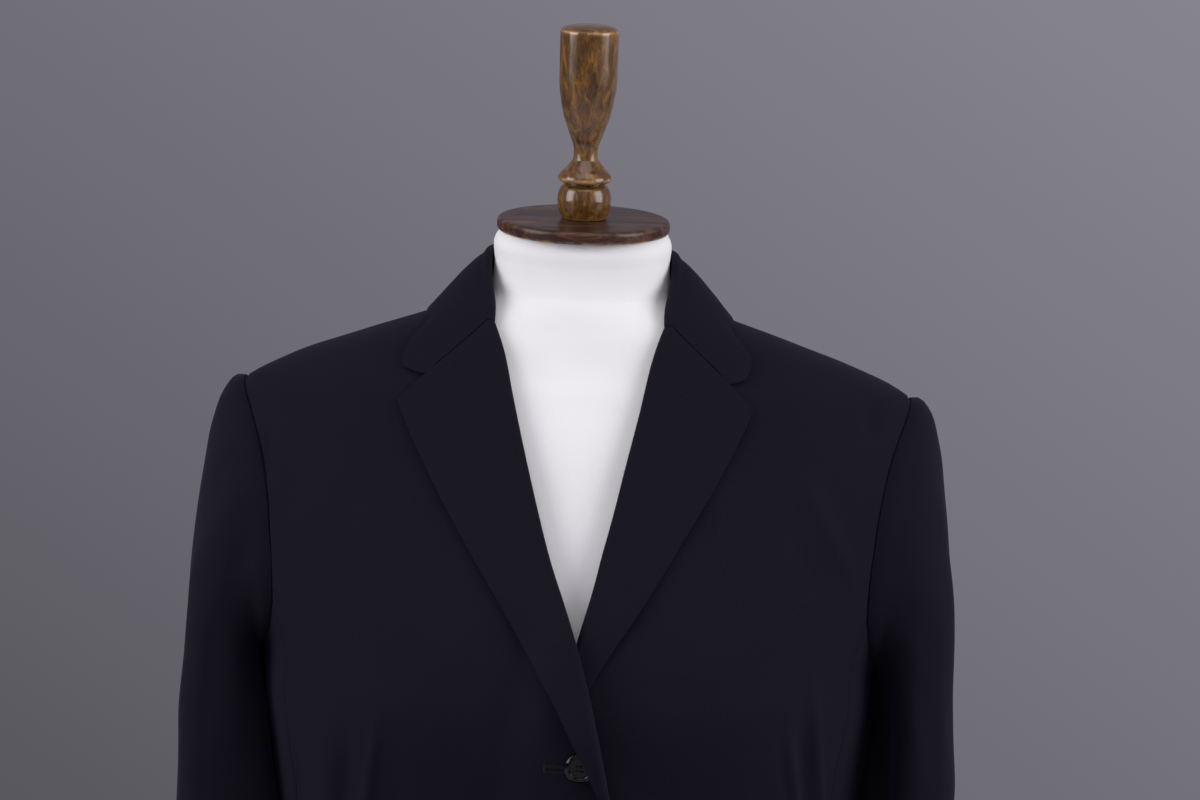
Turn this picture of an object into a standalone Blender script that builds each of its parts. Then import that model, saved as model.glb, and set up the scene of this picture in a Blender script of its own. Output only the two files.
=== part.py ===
"""A women's single breasted blazer on a jersey covered dress form with a turned neck cap and finial.

Metres, +Z up, the front of the garment towards -Y. The floor is z = 0 under the middle of the foot.
The cloth is walls cut from one torso surface: horizontal sections, each half a superellipse in front
and half behind. Sleeves are loops between the armhole and the cuff, and lapels and collar are folded
strips that lie on the torso surface.
"""
import bpy
import numpy as np
from math import pi, radians, tan

# Driving sizes
CLOTH = 0.0016           # wall of the suiting
SEAM = 0.0003            # gap between pieces that are sewn or rest together
ARMHOLE_GAP = 0.0009     # the same where facets of unlike pieces meet on a curve
HEM_Z = 0.430
ARMHOLE_LOW = 0.872      # under the arm
ARMHOLE_TOP = 1.041      # shoulder tip
NECK_Z = 1.096           # neck seam
BREAK_Z = 0.797          # where the lapels stop turning
CENTRE_X = 0.010         # line of the buttons, as the closed fronts hang
EDGE_REACH = 0.020       # front edge beyond the buttons
CORNER = 0.070           # rounding of the front corners at the hem
BUTTON = {"radius": 0.0095, "thick": 0.0035, "dish": 0.0058, "sink": 0.0008, "hole": 0.0009,
          "bevel": 0.0009, "hole_from_axis": 0.0021, "sides": 20, "hole_sides": 6}
BUTTON_HEIGHTS = (0.820, 0.722, 0.624)
SIDE_SEAM_Z = 0.905      # where the side panel's seams meet the armhole
SIDE_LEVEL = 0.850       # the side panel's rows are level up to here, then follow the armhole
SHOULDER_TURN = 0.0036   # half the shoulder seam's gap, as a turn
SLEEVE_SEAM_TURN = 0.0030  # half a sleeve seam's gap, as a turn
EDGE_CLEAR = 0.0035      # the least distance of a front's inner edge from the neck's side
LAP_START = 0.034        # the right front rises this far before the left front's edge
LAP_RISE = 0.028         # and takes this far to do so
CAP_TILT = radians(9)    # the neck's cut slopes forward
NECK_TOP = 1.1405
POLE_RADIUS = 0.0125

# Outside of the body of the garment: half width, depth in front and behind, where the sides lie, roundness
TORSO = np.array([
    # z, half, front, back, side, front_power, back_power
    (0.430, 0.200, 0.128, 0.140, 0.006, 2.40, 2.4),
    (0.500, 0.197, 0.130, 0.145, 0.006, 2.40, 2.4),
    (0.580, 0.187, 0.125, 0.129, 0.004, 2.40, 2.4),
    (0.695, 0.174, 0.118, 0.097, 0.000, 2.40, 2.4),
    (0.775, 0.184, 0.136, 0.105, 0.000, 2.45, 2.4),
    (0.850, 0.193, 0.150, 0.118, 0.000, 2.50, 2.3),
    (0.870, 0.1945, 0.148, 0.121, 0.000, 2.45, 2.3),
    (0.900, 0.204, 0.141, 0.124, 0.000, 2.40, 2.3),
    (0.940, 0.222, 0.126, 0.126, 0.002, 2.30, 2.3),
    (0.980, 0.238, 0.109, 0.121, 0.004, 2.20, 2.3),
    (1.010, 0.236, 0.095, 0.112, 0.005, 2.20, 2.3),
    (1.030, 0.224, 0.084, 0.101, 0.006, 2.20, 2.3),
    (1.041, 0.213, 0.078, 0.093, 0.006, 2.20, 2.3),
    (1.058, 0.180, 0.069, 0.080, 0.006, 2.20, 2.3),
    (1.0726, 0.140, 0.063, 0.068, 0.006, 2.20, 2.3),
    (1.086, 0.100, 0.058, 0.060, 0.006, 2.20, 2.3),
    (1.096, 0.070, 0.054, 0.056, 0.006, 2.20, 2.3),
])
# The form inside it, with arm plates instead of arms and a neck
FORM = np.array([
    # z, half, front, back, side, front_power, back_power
    (0.392, 0.150, 0.094, 0.104, 0.006, 2.3, 2.3),
    (0.397, 0.158, 0.101, 0.112, 0.006, 2.3, 2.3),
    (0.410, 0.164, 0.106, 0.117, 0.006, 2.3, 2.3),
    (0.500, 0.170, 0.110, 0.124, 0.006, 2.3, 2.3),
    (0.580, 0.162, 0.107, 0.110, 0.004, 2.3, 2.3),
    (0.695, 0.141, 0.096, 0.080, 0.000, 2.3, 2.3),
    (0.780, 0.154, 0.118, 0.089, 0.000, 2.3, 2.3),
    (0.850, 0.166, 0.139, 0.104, 0.000, 2.4, 2.3),
    (0.900, 0.173, 0.131, 0.113, 0.000, 2.4, 2.3),
    (0.940, 0.178, 0.117, 0.114, 0.002, 2.3, 2.3),
    (0.980, 0.181, 0.101, 0.110, 0.004, 2.2, 2.3),
    (1.010, 0.182, 0.088, 0.103, 0.005, 2.2, 2.3),
    (1.030, 0.180, 0.078, 0.094, 0.006, 2.2, 2.3),
    (1.041, 0.176, 0.073, 0.0865, 0.006, 2.2, 2.3),
    (1.050, 0.169, 0.068, 0.080, 0.006, 2.2, 2.3),
    (1.058, 0.161, 0.0645, 0.0745, 0.006, 2.2, 2.3),
    (1.0665, 0.1475, 0.0615, 0.0675, 0.006, 2.2, 2.3),
    (1.0726, 0.1335, 0.0595, 0.0635, 0.006, 2.2, 2.3),
    (1.079, 0.1145, 0.0570, 0.0595, 0.006, 2.2, 2.3),
    (1.086, 0.0935, 0.0545, 0.0560, 0.005, 2.2, 2.2),
    (1.0915, 0.0725, 0.0525, 0.0535, 0.004, 2.2, 2.2),
    (1.098, 0.0605, 0.0500, 0.0515, 0.002, 2.1, 2.1),
    (1.108, 0.0572, 0.0490, 0.0505, 0.001, 2.0, 2.0),
    (1.122, 0.0560, 0.0490, 0.0500, 0.000, 2.0, 2.0),
    (1.136, 0.0560, 0.0495, 0.0500, 0.000, 2.0, 2.0),
    (1.1405, 0.0535, 0.0475, 0.0480, 0.000, 2.0, 2.0),
])
# The armhole seam, seen from the front: distance from the middle at each height
ARMHOLE_FRONT = np.array([
    # z, x
    (0.872, 0.1950), (0.880, 0.1905), (0.892, 0.1870), (0.910, 0.1855), (0.930, 0.1860),
    (0.950, 0.1880), (0.970, 0.1905), (0.995, 0.1955), (1.013, 0.2010), (1.030, 0.2085), (1.041, 0.2130),
])
ARMHOLE_BACK = np.array([
    # z, x
    (0.872, 0.1950), (0.880, 0.1925), (0.895, 0.1925), (0.920, 0.1960), (0.950, 0.2000),
    (0.980, 0.2035), (1.013, 0.2085), (1.030, 0.2120), (1.041, 0.2130),
])
# Fold of each lapel, and its outer edge, seen from the front (the wearer's left is +X)
ROLL = {
    -1: np.array([  # z, x
        (0.790, 0.0300), (0.800, 0.0284), (0.838, 0.0203), (0.8756, 0.0103), (0.9104, -0.0012),
        (0.9434, -0.0132), (0.9703, -0.0213), (1.0045, -0.0308), (1.0376, -0.0395),
        (1.0640, -0.0460), (1.0823, -0.0531), (1.0960, -0.0610),
    ]),
    1: np.array([  # z, x
        (0.790, -0.0100), (0.800, -0.0095), (0.830, -0.0065), (0.860, -0.0020), (0.8924, 0.0053),
        (0.9252, 0.0144), (0.9437, 0.0187), (0.9679, 0.0248), (0.9986, 0.0318), (1.0294, 0.0391),
        (1.0627, 0.0464), (1.0823, 0.0531), (1.0960, 0.0610),
    ]),
}
LAPEL_EDGE = {
    -1: np.array([  # z, x
        (0.797, 0.0250), (0.8042, 0.0215), (0.8344, 0.0060), (0.8746, -0.0174), (0.9079, -0.0378),
        (0.9408, -0.0594), (0.9729, -0.0793), (1.0026, -0.0963), (1.0249, -0.1078), (1.0330, -0.1110),
    ]),
    1: np.array([  # z, x
        (0.797, -0.0060), (0.830, 0.0015), (0.8656, 0.0136), (0.8830, 0.0232), (0.9190, 0.0469),
        (0.9574, 0.0697), (0.9843, 0.0853), (1.0084, 0.0980), (1.0240, 0.1055), (1.0330, 0.1090),
    ]),
}
GORGE_Z = 1.0823         # where the seam between lapel and collar starts, at the fold
NOTCH = (0.0950, 1.0483)  # x, z of the inner end of the notch
NOTCH_COLUMN = 0.75      # share of the lapel's and the collar's width that is sewn together
# A lapel's fold, from beside the front's edge round to its top: reach past the edge, height over the front
FOLD = ((0.0003, -0.0008), (0.0020, -0.0006), (0.0031, 0.0006), (0.0024, 0.0020), (0.0004, 0.0026))
EDGE_SETTLE = 0.0005     # how much lower a lapel lies at its outer edge
FOLD_REACH = 0.0036      # the fold's outside stands this far past the front's edge
# How far the right front lies over the left one, and the right lapel over the top button
LAP_LIFT = np.array([
    # z, lift
    (0.430, 0.0024), (0.765, 0.0024), (0.790, 0.0060), (0.830, 0.0062), (0.892, 0.0060),
    (0.915, 0.0032), (0.940, 0.0008), (0.960, 0.0),
])
LAPEL_LIFT = {
    -1: np.array([  # z, height of the lapel's middle over its front
        (0.797, 0.0032), (0.808, 0.0070), (0.835, 0.0070), (0.858, 0.0042), (0.885, 0.0032), (0.930, 0.0026),
        (1.090, 0.0024),
    ]),
    1: np.array([  # z, height: pressed flat where the right front crosses it
        (0.797, 0.0020), (0.892, 0.0020), (0.915, 0.0023), (1.090, 0.0024),
    ]),
}
# A sleeve, loop by loop from the armhole to the cuff: its outermost and innermost points seen from the
# front, its middle and half depth seen from the side, its roundness, and how much armhole shape it keeps
SLEEVE = np.array([
    # out_x, out_z, in_x, in_z, y, depth, power, armhole
    (0.2130, 1.0410, 0.1950, 0.8720, 0.0045, 0.0825, 2.00, 1.00),
    (0.2190, 1.0412, 0.1970, 0.8695, 0.0045, 0.0830, 2.10, 0.85),
    (0.2262, 1.0330, 0.1987, 0.8660, 0.0045, 0.0830, 2.15, 0.60),
    (0.2318, 1.0150, 0.2000, 0.8600, 0.0045, 0.0825, 2.20, 0.40),
    (0.2362, 0.9880, 0.2010, 0.8510, 0.0045, 0.0815, 2.25, 0.20),
    (0.2400, 0.9530, 0.2020, 0.8380, 0.0040, 0.0800, 2.30, 0.08),
    (0.2428, 0.9130, 0.2028, 0.8190, 0.0035, 0.0785, 2.30, 0.00),
    (0.2447, 0.8700, 0.2034, 0.7930, 0.0030, 0.0770, 2.30, 0.00),
    (0.2458, 0.8200, 0.2038, 0.7600, 0.0025, 0.0755, 2.30, 0.00),
    (0.2462, 0.7700, 0.2040, 0.7250, 0.0020, 0.0745, 2.30, 0.00),
    (0.2462, 0.7200, 0.2040, 0.6880, 0.0010, 0.0735, 2.30, 0.00),
    (0.2458, 0.6600, 0.2040, 0.6400, -0.0015, 0.0715, 2.30, 0.00),
    (0.2450, 0.6000, 0.2040, 0.5900, -0.0055, 0.0690, 2.30, 0.00),
    (0.2440, 0.5300, 0.2042, 0.5270, -0.0105, 0.0655, 2.30, 0.00),
    (0.2432, 0.4560, 0.2045, 0.4560, -0.0160, 0.0625, 2.30, 0.00),
])
SLEEVE_SEAMS = (radians(108), radians(262))  # front and back seams, round from the outermost point

# Half the collar from its front end to the centre back: neck seam and fold of its middle, and its
# outer edge, which lies on the body at this turn (degrees) and height
COLLAR = np.array([
    # neck_x, neck_y, neck_z, fold_x, fold_y, fold_z, edge_turn, edge_z
    (0.0567, -0.0530, 1.0830, 0.0536, -0.0590, 1.0850, 57.8, 1.0525),
    (0.0590, -0.0440, 1.0885, 0.0560, -0.0450, 1.0965, 50.4, 1.0655),
    (0.0630, -0.0220, 1.0950, 0.0592, -0.0250, 1.1120, 39.0, 1.0795),
    (0.0665, 0.0050, 1.0980, 0.0605, 0.0020, 1.1260, 0.0, 1.0880),
    (0.0560, 0.0300, 1.0980, 0.0545, 0.0310, 1.1300, -28.0, 1.0845),
    (0.0310, 0.0480, 1.0980, 0.0310, 0.0515, 1.1325, -58.0, 1.0795),
    (0.0000, 0.0552, 1.0980, 0.0000, 0.0600, 1.1335, -90.0, 1.0765),
])
COLLAR_STEPS = 3         # rows between stations
GORGE_GAP = 0.0007       # height of the gorge seam's gap
EDGE_LIFT = 0.0020       # middle of the collar's wall over the body at its outer edge

# Turned pieces: outlines from the top of the axis down the outside to its foot
NECK_CAP = (
    (0, 0.0082), (0.0525, 0.0082), (0.0546, 0.0072), (0.0552, 0.0052), (0.0552, 0.0026), (0.0544, 0.0008),
    (0.0530, 0), (0, 0),
)
FINIAL = (
    (0, 0.1235), (0.0100, 0.1230), (0.0165, 0.1216), (0.0184, 0.1190), (0.0186, 0.1040), (0.0184, 0.0872),
    (0.0171, 0.0760), (0.0151, 0.0662), (0.0127, 0.0590), (0.0101, 0.0518), (0.0082, 0.0465),
    (0.0077, 0.0425), (0.0079, 0.0385), (0.0092, 0.0362), (0.0128, 0.0321), (0.0168, 0.0288),
    (0.0172, 0.0270), (0.0172, 0.0243), (0.0160, 0.0229), (0.0128, 0.0218), (0.0152, 0.0192),
    (0.0170, 0.0145), (0.0172, 0.0100), (0.0162, 0.0048), (0.0141, 0), (0, 0),
)
BASE = ((0, 0.0330), (0.0230, 0.0330), (0.0260, 0.0300), (0.0270, 0.0240), (0.1560, 0.0200),
        (0.1660, 0.0165), (0.1700, 0.0110), (0.1690, 0.0030), (0.1660, 0), (0, 0))

HEIGHTS = (HEM_Z, 0.4325, 0.438, 0.447, 0.460, 0.478, 0.500, 0.560, 0.624, 0.665, 0.695,
           0.708, 0.722, 0.736, 0.765, BREAK_Z, 0.820,
           0.850, 0.872, 0.890, SIDE_SEAM_Z, 0.930, 0.955, 0.980, 1.005, 1.022, 1.034, ARMHOLE_TOP, 1.052,
           1.064, 1.0755, GORGE_Z, 1.0905, NECK_Z)
PANEL_COLUMNS = {"front": 9, "side": 8, "back": 7, "top_sleeve": 12, "under_sleeve": 7}
FORM_COLUMNS = 28
COLOURS = {
    "suiting": (0.0095, 0.0090, 0.0125, 1), "jersey": (0.66, 0.64, 0.64, 1),
    "walnut": (0.125, 0.055, 0.028, 1), "button_gloss": (0.010, 0.010, 0.013, 1),
    "steel": (0.55, 0.55, 0.57, 1),
}
ROUGH = {"suiting": 0.85, "jersey": 0.9, "walnut": 0.35, "button_gloss": 0.18, "steel": 0.3}


def read(table, at):
    """Monotone cubic through a table's rows: its other columns at each value of the first."""
    key, rows = table[:, 0], table[:, 1:]
    step = np.diff(key)
    rise = np.diff(rows, axis=0) / step[:, None]
    both = rise[:-1] * rise[1:]
    total = rise[:-1] + rise[1:]
    slope = np.vstack([rise[:1], np.where(both > 0, 2 * both / np.where(both > 0, total, 1), 0), rise[-1:]])
    at = np.clip(np.asarray(at, float), key[0], key[-1])
    row = np.clip(np.searchsorted(key, at, side="right") - 1, 0, len(key) - 2)
    width = step[row][..., None]
    u = ((at - key[row])[..., None]) / width
    value = ((1 + 2 * u) * (1 - u) ** 2 * rows[row] + u * (1 - u) ** 2 * width * slope[row]
             + u * u * (3 - 2 * u) * rows[row + 1] - u * u * (1 - u) * width * slope[row + 1])
    return np.moveaxis(value, -1, 0)


def ease(value):
    """0 below 0, 1 above 1 and smooth between."""
    value = np.clip(value, 0, 1)
    return value * value * (3 - 2 * value)


def power(value, exponent):
    return np.sign(value) * np.abs(value) ** exponent


def section(table, turn, z):
    """A point of a body: turn is 0 at +X, a quarter at the centre front, minus a quarter at the back."""
    half, front, back, side, front_power, back_power = read(table, z)
    ahead = np.sin(turn) >= 0
    bend = 2 / np.where(ahead, front_power, back_power)
    depth = np.where(ahead, front + side, back - side)
    x = half * power(np.cos(turn), bend)
    y = side - depth * power(np.sin(turn), bend)
    return np.stack([x, y, np.broadcast_to(z, x.shape)], axis=-1)


def turn_at(x, z, ahead=True):
    """The turn at which the torso's section at z reaches x, in front or behind."""
    half, _, _, _, front_power, back_power = read(TORSO, z)
    bend = (front_power if ahead else back_power) / 2
    turn = np.arccos(np.clip(power(x / half, bend), -1, 1))
    return turn if ahead else -turn


def lap(x, z):
    """How far the right front stands out where it crosses the left one."""
    left_edge = read(ROLL[1], z)[0]
    return read(LAP_LIFT, z)[0] * ease((x - left_edge + LAP_START) / LAP_RISE)


def skin(turn, z, out=0.0, over=False):
    """Points of the garment's body moved out by `out`; over adds the right front's lap."""
    def place(turn, z):
        return section(TORSO, turn, z)
    turn, z, out = np.broadcast_arrays(np.asarray(turn, float), np.asarray(z, float), np.asarray(out, float))
    across = place(turn + 1e-3, z) - place(turn - 1e-3, z)
    low = np.clip(z - 2e-4, HEM_Z, NECK_Z)
    high = np.clip(z + 2e-4, HEM_Z, NECK_Z)
    normal = np.cross(place(turn, high) - place(turn, low), across)
    normal /= np.linalg.norm(normal, axis=-1, keepdims=True)
    point = place(turn, z)
    if over:
        out = out + lap(point[..., 0], z)
    return point + normal * out[..., None]


def across_front(x, z, out=0.0, over=False):
    """Points of the front's surface by their place seen from the front."""
    return skin(turn_at(x, z), z, out, over)


def grid_normals(grid):
    """A unit normal at each point of a grid of points."""
    down = np.gradient(grid, axis=0)
    along = np.gradient(grid, axis=1)
    normal = np.cross(along, down)
    return normal / np.linalg.norm(normal, axis=-1, keepdims=True)


def wall(name, outer, inner, finish):
    """A closed wall between two grids of the same size."""
    rows, columns = outer.shape[:2]
    count = rows * columns
    top = np.arange(count).reshape(rows, columns)
    faces = []
    for r in range(rows - 1):
        for c in range(columns - 1):
            quad = (top[r, c], top[r, c + 1], top[r + 1, c + 1], top[r + 1, c])
            faces.append(quad)
            faces.append(tuple(i + count for i in reversed(quad)))
    rim = list(top[0, :]) + list(top[1:, -1]) + list(top[-1, -2::-1]) + list(top[-2:0:-1, 0])
    for a, b in zip(rim, rim[1:] + rim[:1]):
        faces.append((b, a, a + count, b + count))
    points = np.concatenate([outer.reshape(-1, 3), inner.reshape(-1, 3)])
    return solid(name, points, faces, finish)


def solid(name, points, faces, finish):
    mesh = bpy.data.meshes.new(name)
    mesh.from_pydata([tuple(p) for p in points.tolist()], [], [tuple(int(i) for i in f) for f in faces])
    if outward_volume(mesh) < 0:
        mesh.flip_normals()
    mesh.update()
    return finished(name, mesh, finish)


def outward_volume(mesh):
    """Six times the volume that the faces close, below 0 when they point inwards."""
    mesh.calc_loop_triangles()
    total = 0
    for triangle in mesh.loop_triangles:
        a, b, c = (mesh.vertices[i].co for i in triangle.vertices)
        total += a.dot(b.cross(c))
    return total


def finished(name, mesh, finish):
    mesh.shade_smooth()
    mesh.set_sharp_from_angle(angle=radians(40))
    obj = bpy.data.objects.new(name, mesh)
    obj.data.materials.append(material(name, finish))
    BLAZER.objects.link(obj)
    return obj


def material(name, finish):
    made = bpy.data.materials.new(name + "_" + finish)
    made.use_nodes = True
    shader = made.node_tree.nodes["Principled BSDF"]
    shader.inputs["Base Color"].default_value = COLOURS[finish]
    shader.inputs["Roughness"].default_value = ROUGH[finish]
    shader.inputs["Metallic"].default_value = 1.0 if finish == "steel" else 0.0
    return made


def mirrored(points, side):
    return points * np.array([side, 1, 1])


def panel(name, outer, inner, side):
    wall(name, mirrored(outer, side), mirrored(inner, side), "suiting")


def spread(start, end, share):
    return start[..., None] + (end - start)[..., None] * share


# ---- the body of the garment. Each panel is worked out at +X and mirrored for the right one ----

def front_edge(side, z):
    """Inner edge of a front on its own side: the fold above the break, the front edge below it."""
    fold = side * read(ROLL[side], z)[0] + FOLD_REACH
    edge = side * CENTRE_X - EDGE_REACH
    corner = np.clip((HEM_Z + CORNER - z) / CORNER, 0, 1)
    edge = edge + 0.8 * CORNER * (1 - np.sqrt(1 - corner ** 2))
    return np.where(z > BREAK_Z - 0.007, fold, edge + FOLD_REACH * ease((z - 0.74) / 0.05))


def outer_turn(ahead, z):
    """Where a front or a back ends: at the side panel, the armhole or the shoulder seam."""
    table = ARMHOLE_FRONT if ahead else ARMHOLE_BACK
    seam_turn = turn_at(read(table, SIDE_SEAM_Z)[0], SIDE_SEAM_Z, ahead)
    hole_turn = turn_at(read(table, z)[0], z, ahead)
    shoulder = SHOULDER_TURN * (1 if ahead else -1)
    return np.where(z < SIDE_SEAM_Z, seam_turn, np.where(z < ARMHOLE_TOP, hole_turn, shoulder))


def gap_turn(z):
    """Half a seam's gap as a turn."""
    return 0.5 * SEAM / read(TORSO, z)[1]


def front(side):
    z = np.array(HEIGHTS)
    share = np.linspace(0, 1, PANEL_COLUMNS["front"]) ** 1.5
    inner_x = front_edge(side, z)
    half = read(TORSO, z)[0]
    inner_x = np.minimum(inner_x, half - EDGE_CLEAR)
    start = turn_at(inner_x, z)
    end = outer_turn(True, z) + gap_turn(z)
    turns = spread(start, end, share)
    heights = np.broadcast_to(z[:, None], turns.shape)
    if side > 0:
        outer, inner = skin(turns, heights), skin(turns, heights, -CLOTH)
    else:
        turns = pi - turns
        outer, inner = skin(turns, heights, 0, True), skin(turns, heights, -CLOTH, True)
        outer, inner = mirrored(outer, -1), mirrored(inner, -1)
    panel("front_left" if side > 0 else "front_right", outer, inner, side)


def back(side):
    z = np.array(HEIGHTS)
    start = turn_at(np.full(z.shape, SEAM / 2), z, False)
    end = outer_turn(False, z) - gap_turn(z)
    turns = spread(start, end, np.linspace(0, 1, PANEL_COLUMNS["back"]))
    heights = np.broadcast_to(z[:, None], turns.shape)
    name = "back_left" if side > 0 else "back_right"
    panel(name, skin(turns, heights), skin(turns, heights, -CLOTH), side)


def side_panel(side):
    """From hem to the low part of the armhole, whose height follows the turn."""
    z = np.linspace(ARMHOLE_LOW, SIDE_SEAM_Z, 12)
    behind = turn_at(read(ARMHOLE_BACK, z)[0], z, False)
    ahead = turn_at(read(ARMHOLE_FRONT, z)[0], z, True)
    hole_turns = np.concatenate([behind[::-1], ahead[1:]])
    hole_heights = np.concatenate([z[::-1], z[1:]])
    gap = gap_turn(0.8)
    turns = np.linspace(hole_turns[0] + gap, hole_turns[-1] - gap, PANEL_COLUMNS["side"])
    tops = np.interp(turns, hole_turns, hole_heights)
    rows = [np.full(turns.shape, height) for height in HEIGHTS if height <= SIDE_LEVEL]
    for height in HEIGHTS:
        if SIDE_LEVEL < height <= SIDE_SEAM_Z:
            share = (height - SIDE_LEVEL) / (SIDE_SEAM_Z - SIDE_LEVEL)
            rows.append(SIDE_LEVEL + (tops - SIDE_LEVEL) * share)
    heights = np.array(rows)
    turns = np.broadcast_to(turns, heights.shape)
    name = "side_left" if side > 0 else "side_right"
    panel(name, skin(turns, heights), skin(turns, heights, -CLOTH), side)


# ---- sleeves ----

def armhole_point(angle, in_z, out_z):
    """The armhole seam at an angle: 0 at the shoulder tip, a quarter in front, half under the arm."""
    z = (in_z + out_z) / 2 + (out_z - in_z) / 2 * np.cos(angle)
    ahead = np.sin(angle) >= 0
    fore = skin(turn_at(read(ARMHOLE_FRONT, z)[0], z, True), z)
    aft = skin(turn_at(read(ARMHOLE_BACK, z)[0], z, False), z)
    return np.where(ahead[..., None], fore, aft)


def sleeve_loops(angle):
    """Every loop of a sleeve at these angles, from the armhole to the cuff."""
    seam = armhole_point(angle, SLEEVE[0, 3], SLEEVE[0, 1])
    loops = []
    for out_x, out_z, in_x, in_z, y, depth, roundness, armhole in SLEEVE:
        along = power(np.cos(angle), 2 / roundness)
        loops.append(np.stack([
            (out_x + in_x) / 2 + (out_x - in_x) / 2 * along,
            y - depth * power(np.sin(angle), 2 / roundness),
            (out_z + in_z) / 2 + (out_z - in_z) / 2 * along,
        ], axis=-1))
    kept = SLEEVE[:, 7][:, None, None]
    loops = np.array(loops)
    loops = loops + kept * (seam - loops[0])
    step = loops[1] - loops[0]
    loops[0] += ARMHOLE_GAP * step / np.linalg.norm(step, axis=-1, keepdims=True)
    return loops


def sleeve_wall(name, start, end, columns, side):
    """A stretch of the sleeve round from one seam to the other, with normals from a wider grid."""
    angles = np.linspace(start, end, columns)
    step = angles[1] - angles[0]
    wide = np.concatenate([[angles[0] - step], angles, [angles[-1] + step]])
    outer = sleeve_loops(wide)
    normal = grid_normals(outer)[:, 1:-1]
    outer = outer[:, 1:-1]
    middle = (SLEEVE[:, 0] + SLEEVE[:, 2])[:, None] / 2
    outward = np.sign(normal[..., 0] * (outer[..., 0] - middle)
                      + normal[..., 1] * (outer[..., 1] - SLEEVE[:, 4][:, None]))
    normal = normal * np.where(outward.sum() > 0, 1, -1)
    panel(name, outer, outer - CLOTH * normal, side)


def sleeve(side):
    hand = "left" if side > 0 else "right"
    gap = SLEEVE_SEAM_TURN
    ahead, behind = SLEEVE_SEAMS
    sleeve_wall("top_sleeve_" + hand, behind - 2 * pi + gap, ahead - gap, PANEL_COLUMNS["top_sleeve"], side)
    sleeve_wall("under_sleeve_" + hand, ahead + gap, behind - gap, PANEL_COLUMNS["under_sleeve"], side)


# ---- lapels and collar ----

def folded(name, middle, side):
    """A folded strip: half a wall to each side of the grid of its middle."""
    normal = grid_normals(middle) * CLOTH / 2
    wall(name, mirrored(middle + normal, side), mirrored(middle - normal, side), "suiting")


def lapel(side):
    """Rows run from the fold to the outer edge, the first along the gorge and the last at the break."""
    fold_z = np.array([z for z in HEIGHTS if BREAK_Z <= z <= GORGE_Z])[::-1]
    rows = (GORGE_Z - fold_z) / (GORGE_Z - BREAK_Z)
    fold_x = side * read(ROLL[side], fold_z)[0] + FOLD_REACH
    edge_table = LAPEL_EDGE[side]
    edge_z = edge_table[-1, 0] + (BREAK_Z - edge_table[-1, 0]) * rows
    edge_x = side * read(edge_table, edge_z)[0]
    lying = (0.22, 0.50, NOTCH_COLUMN, 1.0)
    columns = []
    lift = read(LAPEL_LIFT[side], fold_z)[0]
    for reach, height in FOLD:
        columns.append((fold_x - reach, fold_z, np.where(height > 0, height * lift / 0.0024, height)))
    for share in lying:
        x = fold_x + (edge_x - fold_x) * share
        z = fold_z + (edge_z - fold_z) * share
        pull = np.clip(1 - rows * 8, 0, 1) * min(share, (1 - share) * 3) / NOTCH_COLUMN
        x = x + pull * (NOTCH[0] - spot(fold_x[0], edge_x[0]))
        z = z + pull * (NOTCH[1] - spot(fold_z[0], edge_z[0]))
        settle = read(LAPEL_LIFT[side], z)[0]
        columns.append((x, z, settle - EDGE_SETTLE * share))
    x, z, out = (np.stack(values, axis=1) for values in zip(*columns))
    middle = across_front(side * x, z, out, side < 0)
    folded("lapel_left" if side > 0 else "lapel_right", middle, 1)


def spot(start, end):
    return start + (end - start) * NOTCH_COLUMN


def collar_end():
    """The row of the collar that is sewn to the lapel: the lapel's first row, a seam higher."""
    start = read(ROLL[1], GORGE_Z)[0] + FOLD_REACH
    x = [start - reach for reach, _ in FOLD]
    z = [GORGE_Z for _ in FOLD]
    out = [height for _, height in FOLD]
    x += [start + (NOTCH[0] - start) * 2 / 3, NOTCH[0]]
    z += [GORGE_Z + (NOTCH[1] - GORGE_Z) * 2 / 3, NOTCH[1]]
    out += [0.0020, 0.0018]
    return across_front(np.array(x), np.array(z) + GORGE_GAP, np.array(out))


def collar():
    """Stand and fall in one: stations round the neck, each a section from neck seam over the fold."""
    steps = np.arange(len(COLLAR))
    fine = np.linspace(0, steps[-1], COLLAR_STEPS * steps[-1] + 1)
    values = read(np.column_stack([steps, COLLAR]), fine)
    neck, fold = values[:3].T, values[3:6].T
    edge = skin(np.radians(values[6]), values[7], EDGE_LIFT)
    out = edge - fold
    out = out / np.linalg.norm(out, axis=1, keepdims=True)
    up = np.cross(out, np.gradient(fold, axis=0))
    up = up / np.linalg.norm(up, axis=1, keepdims=True)
    up = up * np.sign(up[:, 2:3])
    columns = [
        neck, neck + (fold - neck) * 0.55, fold - out * 0.0016 - up * 0.0022, fold + up * 0.0002,
        fold + out * 0.0040 - up * 0.0002, fold + (edge - fold) * 0.45 + up * 0.0030,
        fold + (edge - fold) * NOTCH_COLUMN + up * 0.0020,
    ]
    body = np.stack(columns, axis=1)
    sewn = np.clip(1 - fine / 1.2, 0, 1)[:, None, None] ** 2
    body = body + sewn * (collar_end() - body[0])
    half = np.concatenate([body, edge[:, None]], axis=1)
    folded("collar", np.concatenate([mirrored(half, -1), half[-2::-1]]), 1)


# ---- trim and stand ----

def turned(name, outline, finish, steps):
    """An outline in metres turned about its own Z axis."""
    mesh = bpy.data.meshes.new(name)
    count = len(outline)
    mesh.from_pydata([(r, 0, z) for r, z in outline], [(i, i + 1) for i in range(count - 1)], [])
    obj = bpy.data.objects.new(name, mesh)
    mesh.materials.append(material(name, finish))
    BLAZER.objects.link(obj)
    screw = obj.modifiers.new("turn", "SCREW")
    screw.steps = screw.render_steps = steps
    screw.use_merge_vertices = True
    screw.merge_threshold = 1e-5
    screw.use_smooth_shade = True
    return obj


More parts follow.
